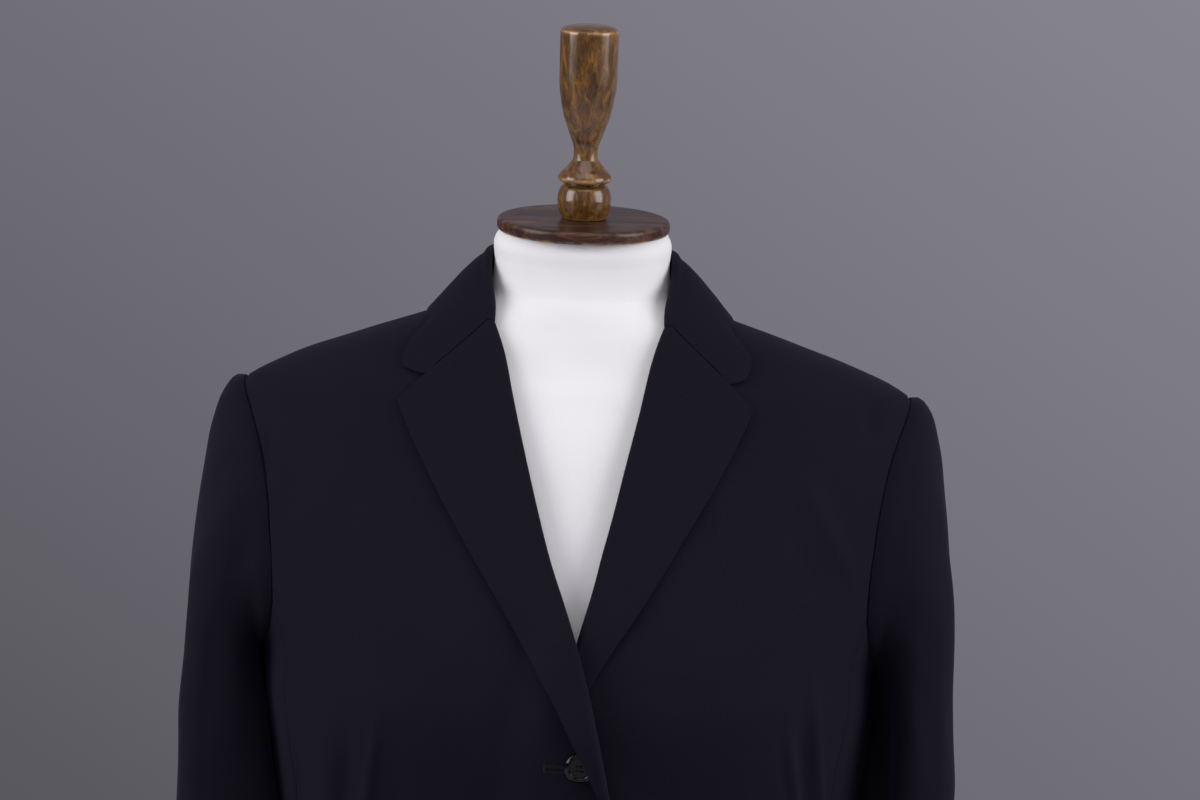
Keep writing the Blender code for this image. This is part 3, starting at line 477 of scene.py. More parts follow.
# the body's creases run on across its seams
bodyCreases = {
    "calmDepth": 0.05,  # flat under the collar, down to this depth
    # spots are (x, z) seen from the front, then width and height in millimetres
    "front": [
        (((-0.1125, 0.858), (-0.1165, 0.818), (-0.1225, 0.775), (-0.1270, 0.730), (-0.1280, 0.660)),
         4.2, 3.4),
        (((-0.1510, 0.862), (-0.1475, 0.815), (-0.1450, 0.770), (-0.1440, 0.720), (-0.1460, 0.640)),
         9.0, 2.1),
        (((-0.1310, 0.852), (-0.1325, 0.805), (-0.1345, 0.760), (-0.1360, 0.690)), 7.0, -2.4),
        (((-0.1690, 0.845), (-0.1655, 0.800), (-0.1635, 0.745), (-0.1645, 0.660)), 8.0, -1.5),
        (((-0.0990, 0.835), (-0.1020, 0.790), (-0.1070, 0.740), (-0.1090, 0.680)), 8.0, -1.1),
        (((0.1490, 0.890), (0.1540, 0.840), (0.1590, 0.795), (0.1610, 0.740),
        (0.1600, 0.670)), 4.4, 3.2),
        (((0.1330, 0.862), (0.1380, 0.825), (0.1430, 0.795), (0.1450, 0.750),
        (0.1455, 0.690)), 4.2, 2.8),
        (((0.1415, 0.872), (0.1460, 0.830), (0.1510, 0.790), (0.1530, 0.740),
        (0.1530, 0.680)), 5.0, -2.5),
        (((0.1700, 0.850), (0.1690, 0.800), (0.1665, 0.750), (0.1670, 0.670)), 7.5, -1.3),
        (((0.1180, 0.840), (0.1210, 0.790), (0.1240, 0.740), (0.1240, 0.690)), 8.0, -1.0),
        (((0.1360, 1.005), (0.1560, 0.965), (0.1790, 0.918)), 8.0, 3.0),
        (((0.1230, 0.985), (0.1430, 0.945), (0.1660, 0.900)), 10.0, -1.8),
        (((0.1835, 1.046), (0.1850, 1.032), (0.1870, 1.015)), 6.0, -2.2),
        (((0.1720, 1.044), (0.1735, 1.030), (0.1745, 1.012)), 6.5, 1.2),
        (((-0.1840, 1.026), (-0.1830, 1.002), (-0.1825, 0.976)), 6.0, 1.0),
        (((-0.1925, 1.022), (-0.1905, 1.000), (-0.1890, 0.976)), 4.5, -1.1),
        (((-0.1350, 1.010), (-0.1550, 0.972), (-0.1740, 0.930)), 12.0, 1.3),
        (((-0.0650, 0.780), (-0.0350, 0.806), (-0.0100, 0.817)), 9.0, -0.5),
        (((0.0850, 0.775), (0.0550, 0.802), (0.0350, 0.813)), 9.0, -0.6),
        (((-0.0900, 0.640), (-0.0960, 0.570), (-0.1060, 0.500), (-0.1100, 0.435)), 17.0, 2.0),
        (((-0.0450, 0.600), (-0.0500, 0.540), (-0.0540, 0.470)), 15.0, -1.2),
        (((0.0850, 0.650), (0.0900, 0.580), (0.0980, 0.510), (0.1060, 0.440)), 16.0, 1.8),
        (((0.1320, 0.620), (0.1400, 0.550), (0.1450, 0.480)), 13.0, -1.4),
    ],
    "back": [
        (((-0.1250, 0.722), (-0.0700, 0.704), (-0.0200, 0.700), (0.0250, 0.706)), 8.0, 1.3),
        (((-0.0900, 0.684), (-0.0300, 0.676), (0.0400, 0.682), (0.1050, 0.700)), 9.0, -1.3),
        (((-0.0200, 0.660), (0.0500, 0.660), (0.1100, 0.676)), 8.0, 1.1),
        (((-0.1450, 0.990), (-0.1420, 0.940), (-0.1380, 0.880), (-0.1300, 0.820)), 12.0, 1.8),
        (((-0.1650, 0.980), (-0.1620, 0.930), (-0.1580, 0.870)), 10.0, -1.6),
        (((0.1480, 1.000), (0.1460, 0.950), (0.1400, 0.890), (0.1330, 0.830)), 13.0, 1.6),
        (((0.1700, 0.990), (0.1660, 0.940), (0.1600, 0.885)), 9.0, -1.5),
        (((-0.0800, 1.052), (-0.0250, 1.040), (0.0250, 1.041), (0.0750, 1.050)), 9.0, -0.9),
        (((-0.0950, 0.600), (-0.1000, 0.540), (-0.1080, 0.470), (-0.1100, 0.435)), 18.0, 2.2),
        (((0.0850, 0.610), (0.0950, 0.540), (0.1000, 0.480), (0.1020, 0.435)), 17.0, 2.0),
        (((-0.0500, 0.580), (-0.0480, 0.520), (-0.0450, 0.450)), 14.0, -1.2),
    ],
}


def bodyShape(points, out, lift=0.0):
    rise = creased(points, bodyCreases["front"], onFront) + creased(points, bodyCreases["back"], onBack)
    calm = ease((body["neckZ"] - points[..., 2]) / bodyCreases["calmDepth"])
    return points + out * ((rise + uneven(points)) * calm + lift)[..., None]


fronts = {
    "columns": 98, "centreX": boxMiddle("button_1").x, "edgeReach": 0.020, "corner": 0.070,
    "breakZ": 0.797, "breakDrop": 0.007, "foldReach": 0.0036,
    "cornerAcross": 0.8,  # the rounded lower corner is this much as wide as it is high
    "edgeEaseZ": 0.74, "edgeEaseOver": 0.05,  # where the straight edge leans out to meet the fold
    "lapFrom": 0.034, "lapOver": 0.028,  # the lap rises so far before the left edge, over this width
    "cornerRows": 34, "sideClear": 0.0035,
    "roll": {  # the fold of each lapel: height, distance towards the wearer's left
        -1: np.array([
            (0.790, 0.0300), (0.800, 0.0284), (0.838, 0.0203), (0.8756, 0.0103), (0.9104, -0.0012),
            (0.9434, -0.0132), (0.9703, -0.0213), (1.0045, -0.0308), (1.0376, -0.0395),
            (1.0640, -0.0460),
            (1.0823, -0.0531), (1.0960, -0.0610),
        ]),
        1: np.array([
            (0.790, -0.0100), (0.800, -0.0095), (0.830, -0.0065), (0.860, -0.0020), (0.8924, 0.0053),
            (0.9252, 0.0144), (0.9437, 0.0187), (0.9679, 0.0248), (0.9986, 0.0318), (1.0294, 0.0391),
            (1.0627, 0.0464), (1.0823, 0.0531), (1.0960, 0.0610),
        ]),
    },
    # how far the right front stands out where it crosses the left one
    "lapLift": np.array([
        (0.430, 0.0024), (0.765, 0.0024), (0.790, 0.0060), (0.830, 0.0062), (0.892, 0.0060),
        (0.915, 0.0032),
        (0.940, 0.0008), (0.960, 0.0),
    ]),
}


def lap(x, z):
    leftEdge = read(fronts["roll"][1], z)[0]
    return read(fronts["lapLift"], z)[0] * ease((x - leftEdge + fronts["lapFrom"]) / fronts["lapOver"])


def frontEdge(side, z):
    fold = side * read(fronts["roll"][side], z)[0] + fronts["foldReach"]
    corner = np.clip((body["hemZ"] + fronts["corner"] - z) / fronts["corner"], 0, 1)
    straight = side * fronts["centreX"] - fronts["edgeReach"]
    edge = straight + fronts["cornerAcross"] * fronts["corner"] * (1 - np.sqrt(1 - corner ** 2))
    leaning = edge + fronts["foldReach"] * ease((z - fronts["edgeEaseZ"]) / fronts["edgeEaseOver"])
    return np.where(z > fronts["breakZ"] - fronts["breakDrop"], fold, leaning)


def outerTurn(ahead, z):  # where a front or back ends: side seam, armhole, then shoulder seam
    table = body["holeFront"] if ahead else body["holeBack"]
    seam = turnAt(read(table, body["sideSeamZ"])[0], body["sideSeamZ"], ahead)
    hole = turnAt(read(table, z)[0], z, ahead)
    shoulder = body["shoulderGapShare"] * cloth["seamGap"] / body["shoulderDepth"] * (1 if ahead else -1)
    return np.where(z < body["sideSeamZ"], seam, np.where(z < body["holeTop"], hole, shoulder))


def gapTurn(z):
    return 0.5 * cloth["seamGap"] / read(body["sections"], z)[1]


def bodyRows():
    corner = body["hemZ"] + fronts["corner"] * (1 - np.sin(np.linspace(pi / 2, 0, fronts["cornerRows"])))
    above = body["hemZ"] + fronts["corner"]
    share = edged(body["neckZ"] - above, body["rows"])[0]
    return np.concatenate([corner, (above + (body["neckZ"] - above) * share)[closeRows + 1:]])


def bodyPanel(name, z, start, end, columns, over=False, seams=(True, True)):
    coarse = start[:, None] + (end - start)[:, None] * np.linspace(0, 1, body["girthSteps"])
    length = steps(onBody(coarse, z[:, None])[0])[:, -1]
    share = edged(length, columns)
    turns = start[:, None] + (end - start)[:, None] * share
    heights = np.broadcast_to(z[:, None], turns.shape)
    fromStart, fromEnd = share * length[:, None], (1 - share) * length[:, None]
    return wallOn(name, turns, heights, fromStart, fromEnd, over, seams)


def wallOn(name, turns, heights, fromStart, fromEnd, over=False, seams=(True, True)):
    points, out = onBody(turns, heights)
    lift = lap(points[..., 0], heights) if over else 0.0
    for isSeam, distance in zip(seams, (fromStart, fromEnd)):
        lift = lift + (seamDip(distance) if isSeam else 0)
    fromStart, fromEnd = (distance * (cloth["seamSharpness"] if isSeam else 1)
                          for isSeam, distance in zip(seams, (fromStart, fromEnd)))
    shaped = bodyShape(points, out, lift)
    alongRows = steps(np.swapaxes(points, 0, 1)).T
    fromRows = np.minimum(alongRows, alongRows[-1] - alongRows)
    edge = np.minimum(np.minimum(fromStart, fromEnd), fromRows)
    return shell(name, shaped, out, edge, weaveMap(points))


def frontPanel(side):
    z = bodyRows()
    innerX = np.minimum(frontEdge(side, z), read(body["sections"], z)[0] - fronts["sideClear"])
    start, end = turnAt(innerX, z), outerTurn(True, z) + gapTurn(z)
    if side < 0:
        start, end = pi - start, pi - end
    name = "front_left" if side > 0 else "front_right"
    piece = bodyPanel(name + "_cloth", z, start, end, fronts["columns"], side < 0, (False, True))
    return finished(piece, "suiting", "suiting", name)


backs = {"columns": 76, "centreSeamGap": 0.04 * mm}  # so narrow that the form never shows through


def backPanel(side):
    z = bodyRows()
    start = turnAt(np.full(z.shape, backs["centreSeamGap"] / 2), z, False)
    end = outerTurn(False, z) - gapTurn(z)
    if side < 0:
        start, end = -pi - start, -pi - end
    name = "back_left" if side > 0 else "back_right"
    piece = bodyPanel(name + "_cloth", z, start, end, backs["columns"])
    return finished(piece, "suiting", "suiting", name)


sides = {"columns": 46, "level": 0.850, "lowRows": 130, "highRows": 24, "highSpan": 0.045,
         "holeRows": 24, "girthZ": 0.8}  # the height at which its gaps and its width are measured


def sidePanel(side):
    z = np.linspace(body["holeLow"], body["sideSeamZ"], sides["holeRows"])
    behind = turnAt(read(body["holeBack"], z)[0], z, False)
    ahead = turnAt(read(body["holeFront"], z)[0], z, True)
    holeTurns, holeHeights = np.concatenate([behind[::-1], ahead[1:]]), np.concatenate([z[::-1], z[1:]])
    gap = gapTurn(np.array([sides["girthZ"]]))[0]
    first, last = holeTurns[0] + gap, holeTurns[-1] - gap
    count = body["girthSteps"]
    length = steps(onBody(np.linspace(first, last, count), np.full(count, sides["girthZ"]))[0])[-1]
    share = edged(length, sides["columns"])[0]
    turns = first + (last - first) * share
    tops = np.interp(turns, holeTurns, holeHeights)
    span = sides["level"] - body["hemZ"]
    low = body["hemZ"] + span * edged(span, sides["lowRows"])[0][:-closeRows - 1]
    high = edged(sides["highSpan"], sides["highRows"])[0][closeRows + 1:]
    rows = [np.full(turns.shape, height) for height in low]
    rows += [sides["level"] + (tops - sides["level"]) * height for height in np.concatenate([[0], high])]
    heights = np.array(rows)
    turns, share = np.broadcast_to(turns, heights.shape), np.broadcast_to(share, heights.shape)
    if side < 0:
        turns = pi - turns
    name = "side_left" if side > 0 else "side_right"
    piece = wallOn(name + "_cloth", turns, heights, share * length, (1 - share) * length)
    return finished(piece, "suiting", "suiting", name)


print("cutting the body panels")
bodyPieces = {}
for side in (-1, 1):
    bodyPieces["front", side] = frontPanel(side)
    bodyPieces["side", side] = sidePanel(side)
    bodyPieces["back", side] = backPanel(side)

sleeves = {
    "rows": 156, "topColumns": 92, "underColumns": 40, "armholeGap": 0.5 * mm, "rest": 3.0 * mm,
    "seams": (radians(150), radians(262)),  # round from the outermost point, by way of the front
    "blunt": {-1: 1.0, 1: 1.6},  # added to the roundness of the front half, where the sleeve hangs free
    "bluntBelow": 0.975, "bluntOver": 0.11,  # the height where that starts, and its way to full
    "seamGapShare": 0.7, "seamRadius": 0.07,  # together they make a sleeve seam's gap a turn
    "calmAtSeam": 0.02, "measureSteps": 240, "placeSteps": 200, "keySteps": 48,
    # millimetres past the armhole seam and under the body's outside, from the allowance's end outwards
    "tuck": ((4.0, 2.3), (2.6, 2.3), (1.4, 2.25), (0.7, 2.1), (0.2, 1.8), (-0.1, 1.4),
             (-0.25, 1.0), (-0.35, 0.6),
             (-0.42, 0.25)),
    "loops": np.array([
        # outermost x, z, innermost x, z, middle y, half depth, roundness, share of the armhole's shape
        (0.2130, 1.0410, 0.1950, 0.8720, 0.0045, 0.0825, 2.00, 1.00),
        (0.2190, 1.0412, 0.1970, 0.8695, 0.0045, 0.0830, 2.10, 0.85),
        (0.2262, 1.0330, 0.1987, 0.8660, 0.0045, 0.0830, 2.15, 0.60),
        (0.2318, 1.0150, 0.2000, 0.8600, 0.0045, 0.0825, 2.20, 0.40),
        (0.2362, 0.9880, 0.2010, 0.8510, 0.0045, 0.0815, 2.25, 0.20),
        (0.2400, 0.9530, 0.2020, 0.8380, 0.0040, 0.0800, 2.30, 0.08),
        (0.2428, 0.9130, 0.2028, 0.8190, 0.0035, 0.0785, 2.30, 0.00),
        (0.2447, 0.8700, 0.2034, 0.7930, 0.0030, 0.0770, 2.30, 0.00),
        (0.2458, 0.8200, 0.2038, 0.7600, 0.0025, 0.0755, 2.30, 0.00),
        (0.2462, 0.7700, 0.2040, 0.7250, 0.0020, 0.0745, 2.30, 0.00),
        (0.2462, 0.7200, 0.2040, 0.6880, 0.0010, 0.0735, 2.30, 0.00),
        (0.2458, 0.6600, 0.2040, 0.6400, -0.0015, 0.0715, 2.30, 0.00),
        (0.2450, 0.6000, 0.2040, 0.5900, -0.0055, 0.0690, 2.30, 0.00),
        (0.2440, 0.5300, 0.2042, 0.5270, -0.0105, 0.0655, 2.30, 0.00),
        (0.2432, 0.4560, 0.2045, 0.4560, -0.0160, 0.0625, 2.30, 0.00),
    ]),
    # spots are (degrees round from the outermost point by way of the front, z)
    "creases": {
        -1: [
            (((84, 1.010), (74, 0.970), (62, 0.930), (40, 0.898)), 9.0, 1.9),
            (((52, 0.915), (60, 0.850), (66, 0.780), (60, 0.700)), 12.0, 1.4),
            (((104, 0.985), (98, 0.930), (92, 0.870), (98, 0.800)), 10.0, -1.7),
            (((128, 0.930), (120, 0.860), (124, 0.780)), 9.0, 1.3),
            (((30, 0.960), (24, 0.900), (20, 0.820)), 14.0, -1.3),
            (((110, 0.700), (80, 0.674), (48, 0.664), (20, 0.672)), 8.0, -1.8),
            (((112, 0.664), (84, 0.642), (52, 0.640)), 8.0, 1.6),
            (((120, 0.630), (90, 0.606), (60, 0.600)), 9.0, -1.3),
            (((70, 0.590), (64, 0.540), (70, 0.480)), 13.0, 1.5),
            (((300, 0.960), (304, 0.880), (296, 0.800)), 14.0, 1.8),
            (((278, 0.900), (284, 0.820), (280, 0.730)), 11.0, -1.7),
            (((330, 0.700), (300, 0.680), (276, 0.684)), 10.0, 1.6),
            (((325, 0.600), (310, 0.560), (306, 0.490)), 13.0, -1.5),
            (((200, 0.800), (210, 0.740), (206, 0.660)), 12.0, 1.5),
        ],
        1: [
            (((150, 0.945), (122, 0.872), (92, 0.826), (92, 0.786), (104, 0.720)), 8.5, 1.9),
            (((112, 0.960), (88, 0.900), (62, 0.860), (48, 0.810)), 11.0, -1.7),
            (((44, 1.000), (40, 0.940), (34, 0.880)), 13.0, 1.4),
            (((66, 0.820), (70, 0.760), (60, 0.700)), 10.0, -1.4),
            (((30, 0.840), (28, 0.770), (34, 0.700)), 14.0, 1.3),
            (((60, 1.037), (64, 1.031), (67, 1.025)), 3.2, -1.1),
            (((48, 1.040), (52, 1.034), (54, 1.028)), 3.0, 0.7),
            (((116, 0.690), (84, 0.668), (44, 0.656), (16, 0.664)), 8.0, -1.8),
            (((114, 0.655), (80, 0.634), (46, 0.626)), 8.5, 1.5),
            (((64, 0.600), (72, 0.540), (64, 0.475)), 13.0, 1.6),
            (((298, 0.950), (290, 0.870), (300, 0.780)), 13.0, 1.8),
            (((320, 0.930), (316, 0.850), (322, 0.780)), 12.0, -1.6),
            (((326, 0.690), (300, 0.672), (274, 0.680)), 10.0, 1.6),
            (((300, 0.610), (308, 0.550), (300, 0.480)), 13.0, -1.5),
            (((204, 0.790), (196, 0.720), (204, 0.640)), 12.0, 1.4),
        ],
    },
}


def armholeAt(angle):  # the armhole seam, from the shoulder tip by way of the front, and the way out
    top, low = sleeves["loops"][0, 1], sleeves["loops"][0, 3]
    z = (low + top) / 2 + (top - low) / 2 * np.cos(angle)
    ahead = (np.sin(angle) >= 0)[..., None]
    fore = onBody(turnAt(read(body["holeFront"], z)[0], z, True), z)
    aft = onBody(turnAt(read(body["holeBack"], z)[0], z, False), z)
    return np.where(ahead, fore[0], aft[0]), np.where(ahead, fore[1], aft[1])


def sleeveLoops(angle, side=1):  # the coarse loops at these angles, from the armhole to the cuff
    table = sleeves["loops"]
    seam = armholeAt(angle)[0]
    loops = []
    for outX, outZ, inX, inZ, y, depth, roundness, _ in table:
        free = ease((sleeves["bluntBelow"] - outZ) / sleeves["bluntOver"])
        roundness = roundness + sleeves["blunt"][side] * free * (np.sin(angle) > 0)
        along = power(np.cos(angle), 2 / roundness)
        loops.append(np.stack([(outX + inX) / 2 + (outX - inX) / 2 * along,
                               y - depth * power(np.sin(angle), 2 / roundness),
                               (outZ + inZ) / 2 + (outZ - inZ) / 2 * along], axis=-1))
    loops = np.array(loops)
    loops = loops + table[:, 7][:, None, None] * (seam - loops[0])
    loops[0] += sleeves["armholeGap"] * unit(loops[1] - loops[0])
    return loops


def sleeveKeys(side):
    angles = np.linspace(0, 2 * pi, sleeves["keySteps"], endpoint=False)
    return steps(np.swapaxes(sleeveLoops(angles, side), 0, 1)).mean(0)


def onSleeve(side):
    keys = sleeveKeys(side)

    def place(degrees, z):
        loops = sleeveLoops(np.array([radians(degrees)]), side)[:, 0]
        fine = curveThrough(keys, loops, np.linspace(0, keys[-1], sleeves["placeSteps"]))
        spot = fine[np.argmin(np.abs(fine[:, 2] - z))]
        return spot * (side, 1, 1), None
    return place


def sleeveWall(name, start, end, columns, side):
    keys = sleeveKeys(side)
    fine = np.linspace(start, end, sleeves["measureSteps"])
    girthAt = steps(curveThrough(keys, sleeveLoops(fine, side), np.array([keys[-1] / 2])))[0]
    angles = np.interp(girthAt[-1] * edged(girthAt[-1], columns)[0], girthAt, fine)
    rows = keys[-1] * edged(keys[-1], sleeves["rows"])[0]
    grid = curveThrough(keys, sleeveLoops(angles, side), rows)
    grid = hung(grid, np.degrees(angles), side)
    tucked = tuck(angles)
    grid = np.concatenate([tucked, grid])
    out = unit(np.cross(np.gradient(grid, axis=0), np.gradient(grid, axis=1)))
    middle = grid.mean(1, keepdims=True)
    centre = (sleeves["loops"][:, 0] + sleeves["loops"][:, 2]).mean() / 2
    if np.sum(out * (grid - np.array([centre, 0, 0]) * (1, 0, 0) - middle * (0, 1, 1))) < 0:
        out = -out
    grid, out = grid * (side, 1, 1), out * (side, 1, 1)
    girth = steps(grid)
    fromStart, fromEnd = girth, girth[:, -1:] - girth
    length = steps(np.swapaxes(grid, 0, 1)).T
    fromSeam = length - length[len(tucked)]
    rise = creased(grid, sleeves["creases"][side], onSleeve(side)) + uneven(grid)
    rise = rise * ease(fromSeam / sleeves["calmAtSeam"]) + seamDip(fromStart) + seamDip(fromEnd)
    rise = rise * (fromSeam > 0)
    sewn = cloth["seamSharpness"] * np.minimum(fromStart, fromEnd)
    edge = np.minimum(sewn, np.minimum(length, length[-1] - length))
    return shell(name + "_cloth", grid + out * rise[..., None], out, edge, weaveMap(grid))


hanging = {  # angles are in degrees round from the outermost point, by way of the front
    "from": {-1: (96, 50), 1: (154, 22)},  # where it starts to fall in, and over how much
    "until": (252, 62), "underArm": (130, 225, 40),
    "topZ": 0.900, "over": 0.075,  # at once only under the arm, where it starts lower
    "underArmDrop": 0.026, "underArmCut": 0.061,
    "lessZ": 0.72, "lessOver": 0.14, "lessShare": 0.75, "most": 0.034,
    "restShare": 0.35, "restZ": 0.865, "restOver": 0.045,  # closest to the body just under the arm
}


def hung(grid, degrees, side):  # the inner side of an empty sleeve falls against the body
    x, y, z = np.moveaxis(grid, -1, 0)
    half, front, back, widest, frontPower, backPower = read(body["sections"], z)
    across = np.where(y < widest, (widest - y) / (front + widest), (y - widest) / (back - widest))
    roundness = np.where(y < widest, frontPower, backPower)
    bodyX = half * np.maximum(1 - np.clip(across, 0, 1) ** roundness, 0) ** (1 / roundness)
    free = ease((hanging["restZ"] - z) / hanging["restOver"])
    rest = sleeves["rest"] * (hanging["restShare"] + (1 - hanging["restShare"]) * free)
    pull = np.clip(x - bodyX - rest, 0, hanging["most"])
    start, over = hanging["from"][side]
    stop, fading = hanging["until"]
    inner = ease((degrees - start) / over) * ease((stop - degrees) / fading)
    fore, aft, fading = hanging["underArm"]
    beneath = ease((degrees - fore) / fading) * ease((aft - degrees) / fading)
    top = hanging["topZ"] - hanging["underArmDrop"] * beneath
    over = hanging["over"] - hanging["underArmCut"] * beneath
    less = hanging["lessShare"] * ease((hanging["lessZ"] - z) / hanging["lessOver"])
    low = ease((top - z) / over) * (1 - less)
    return grid - (pull * inner * low)[..., None] * (1, 0, 0)


def tuck(angle):  # the sleeve's seam allowance, which turns in beside the body's edge and lies under it
    loops = sleeveLoops(angle)
    seam, away = armholeAt(angle)
    ahead = armholeAt(angle + 2e-3)[0] - armholeAt(angle - 2e-3)[0]
    inward = unit(np.cross(away, ahead))
    inward = inward * np.sign(-np.sum(inward * (loops[1] - loops[0]), axis=-1, keepdims=True))
    return np.array([seam + inward * across * mm - away * deep * mm for across, deep in sleeves["tuck"]])


def sleeve(side):
    hand = "left" if side > 0 else "right"
    gap = sleeves["seamGapShare"] * cloth["seamGap"] / sleeves["seamRadius"]
    ahead, behind = sleeves["seams"]
    parts = (("top_sleeve_", behind - 2 * pi + gap, ahead - gap, sleeves["topColumns"]),
             ("under_sleeve_", ahead + gap, behind - gap, sleeves["underColumns"]))
    for name, start, end, columns in parts:
        piece = sleeveWall(name + hand, start, end, columns, side)
        bodyPieces[name[:-1], side] = finished(piece, "suiting", "suiting", name + hand)


print("setting in the sleeves")
for side in (-1, 1):
    sleeve(side)

lapels = {
    "rows": 164, "foldColumns": 14, "columns": 40, "width": 0.07, "gorgeZ": 1.0823,
    "notch": (0.0950, 1.0483), "notchShare": 0.75, "notchFade": 8, "notchSlope": 3,
    # the fold from beside the front's edge round to its top: reach past the edge, height over the front
    "fold": ((0.0003, -0.0008), (0.0020, -0.0006), (0.0031, 0.0006), (0.0024, 0.0020),
             (0.0004, 0.0026)),
    "foldHigh": 0.0024, "edgeSettle": 0.0005, "lying": (0.10, 0.22, 0.36, 0.50, 0.62, 0.75, 0.87, 1.0),
    "edge": {  # outer edge: height, distance towards the wearer's left
        -1: np.array([
            (0.797, 0.0250), (0.8042, 0.0215), (0.8344, 0.0060), (0.8746, -0.0174), (0.9079, -0.0378),
            (0.9408, -0.0594), (0.9729, -0.0793), (1.0026, -0.0963), (1.0249, -0.1078),
            (1.0330, -0.1110),
        ]),
        1: np.array([
            (0.797, -0.0060), (0.830, 0.0015), (0.8656, 0.0136), (0.8830, 0.0232), (0.9190, 0.0469),
            (0.9574, 0.0697), (0.9843, 0.0853), (1.0084, 0.0980), (1.0240, 0.1055), (1.0330, 0.1090),
        ]),
    },
    "lift": {  # height of the lapel's middle over its front
        -1: np.array([(0.797, 0.0032), (0.808, 0.0070), (0.835, 0.0070), (0.858, 0.0042),
                      (0.885, 0.0032), (0.930, 0.0026), (1.090, 0.0024)]),
        1: np.array([(0.797, 0.0020), (0.892, 0.0020), (0.915, 0.0023), (1.090, 0.0024)]),
    },
}


def overFront(x, z, out, over):
    points, away = onFront(x, z)
    lift = lap(points[..., 0], z) if over else 0.0
    return points + away * (out + lift)[..., None]


def stripRows(control, turns):  # columns of a strip: turns are places counted in control columns
    rows = []
    for line in control:
        key = steps(line)
        at = np.interp(turns, np.arange(len(key)), key)
        rows.append(read(np.column_stack([key, line]), at).T)
    return np.array(rows)


def foldedStrip(name, middle):
    out = gridNormals(middle)
    across = steps(middle)
    along = steps(np.swapaxes(middle, 0, 1)).T
    edge = np.minimum(np.minimum(across, across[:, -1:] - across), np.minimum(along, along[-1:] - along))
    return shell(name, middle + out * cloth["thick"] / 2, out, edge, weaveMap(middle))


def lapel(side):
    rows = edged(lapels["gorgeZ"] - fronts["breakZ"], lapels["rows"])[0]
    foldZ = lapels["gorgeZ"] + (fronts["breakZ"] - lapels["gorgeZ"]) * rows
    foldX = side * read(fronts["roll"][side], foldZ)[0] + fronts["foldReach"]
    table = lapels["edge"][side]
    edgeZ = table[-1, 0] + (fronts["breakZ"] - table[-1, 0]) * rows
    edgeX = side * read(table, edgeZ)[0]
    lift = read(lapels["lift"][side], foldZ)[0]
    columns = []
    for reach, height in lapels["fold"]:
        raised = np.where(height > 0, height * lift / lapels["foldHigh"], height)
        columns.append((foldX - reach, foldZ, raised))
    notchX = lapels["notch"][0] - (foldX[0] + (edgeX[0] - foldX[0]) * lapels["notchShare"])
    notchZ = lapels["notch"][1] - (foldZ[0] + (edgeZ[0] - foldZ[0]) * lapels["notchShare"])
    for share in lapels["lying"]:
        pull = np.clip(1 - rows * lapels["notchFade"], 0, 1)
        pull = pull * min(share, (1 - share) * lapels["notchSlope"]) / lapels["notchShare"]
        x = foldX + (edgeX - foldX) * share + pull * notchX
        z = foldZ + (edgeZ - foldZ) * share + pull * notchZ
        columns.append((x, z, read(lapels["lift"][side], z)[0] - lapels["edgeSettle"] * share))
    control = np.moveaxis(np.array(columns), 2, 0)
    folds, last = len(lapels["fold"]) - 1, len(columns) - 1
    places = edged(lapels["width"], lapels["columns"])[0][closeRows:]
    turns = np.concatenate([np.linspace(0, folds, lapels["foldColumns"])[:-1],
                            folds + (last - folds) * places])
    x, z, out = np.moveaxis(stripRows(control, turns), -1, 0)
    middle = overFront(side * x, z, out, side < 0)
    name = "lapel_left" if side > 0 else "lapel_right"
    return finished(foldedStrip(name + "_cloth", middle), "suiting", "suiting", name)


collarSet = {
    "rows": 250, "foldTurn": 4.0, "foldColumns": 20, "columns": 32, "width": 0.07, "halfLength": 0.17,
    "gorgeGap": 0.25 * mm, "edgeLift": 0.0020,
    "standShare": 0.55,  # a middle line of the stand, between the neck seam and the fold
    "roll": ((-0.0016, -0.0022), (0.0, 0.0002), (0.0040, -0.0002)),  # round the fold: outwards, upwards
    "sewnOver": 1.2,  # stations over which the end comes to lie on the lapel's seam
    "shorterEnd": 0.3,  # the left end stops short by this share of its way past the notch
    # the fall: share of the way from fold to outer edge and its arch; then the places on the sewn end
    "fall": ((0.20, 0.0008), (0.32, 0.0012), (0.45, 0.0014), (0.60, 0.0012), (0.75, 0.0010)),
    "sewnPlaces": ((0.12, 0.0025), (0.35, 0.0023), (0.60, 0.0021), (0.80, 0.0019), (1.0, 0.0018)),
    "stations": np.array([
        # neck seam x, y, z, fold x, y, z, turn and height of the outer edge on the body
        (0.0567, -0.0530, 1.0830, 0.0536, -0.0590, 1.0850, 57.8, 1.0525),
        (0.0590, -0.0440, 1.0885, 0.0560, -0.0450, 1.0965, 50.4, 1.0655),
        (0.0630, -0.0220, 1.0950, 0.0592, -0.0250, 1.1120, 39.0, 1.0795),
        (0.0665, 0.0050, 1.0980, 0.0605, 0.0020, 1.1260, 0.0, 1.0880),
        (0.0560, 0.0300, 1.0980, 0.0545, 0.0310, 1.1300, -28.0, 1.0845),
        (0.0310, 0.0480, 1.0980, 0.0310, 0.0515, 1.1325, -58.0, 1.0795),
        (0.0000, 0.0552, 1.0980, 0.0000, 0.0600, 1.1335, -90.0, 1.0765),
    ]),
}


def collarEnd():  # the row sewn to the lapel: the lapel's first row, a seam higher
    start = read(fronts["roll"][1], lapels["gorgeZ"])[0] + fronts["foldReach"]
    x = [start - reach for reach, _ in lapels["fold"]]
    z = [lapels["gorgeZ"]] * len(x)
    out = [height for _, height in lapels["fold"]]
    for share, height in collarSet["sewnPlaces"]:
        x.append(start + (lapels["notch"][0] - start) * share)
        z.append(lapels["gorgeZ"] + (lapels["notch"][1] - lapels["gorgeZ"]) * share)
        out.append(height)
    return overFront(np.array(x), np.array(z) + collarSet["gorgeGap"], np.array(out), False)


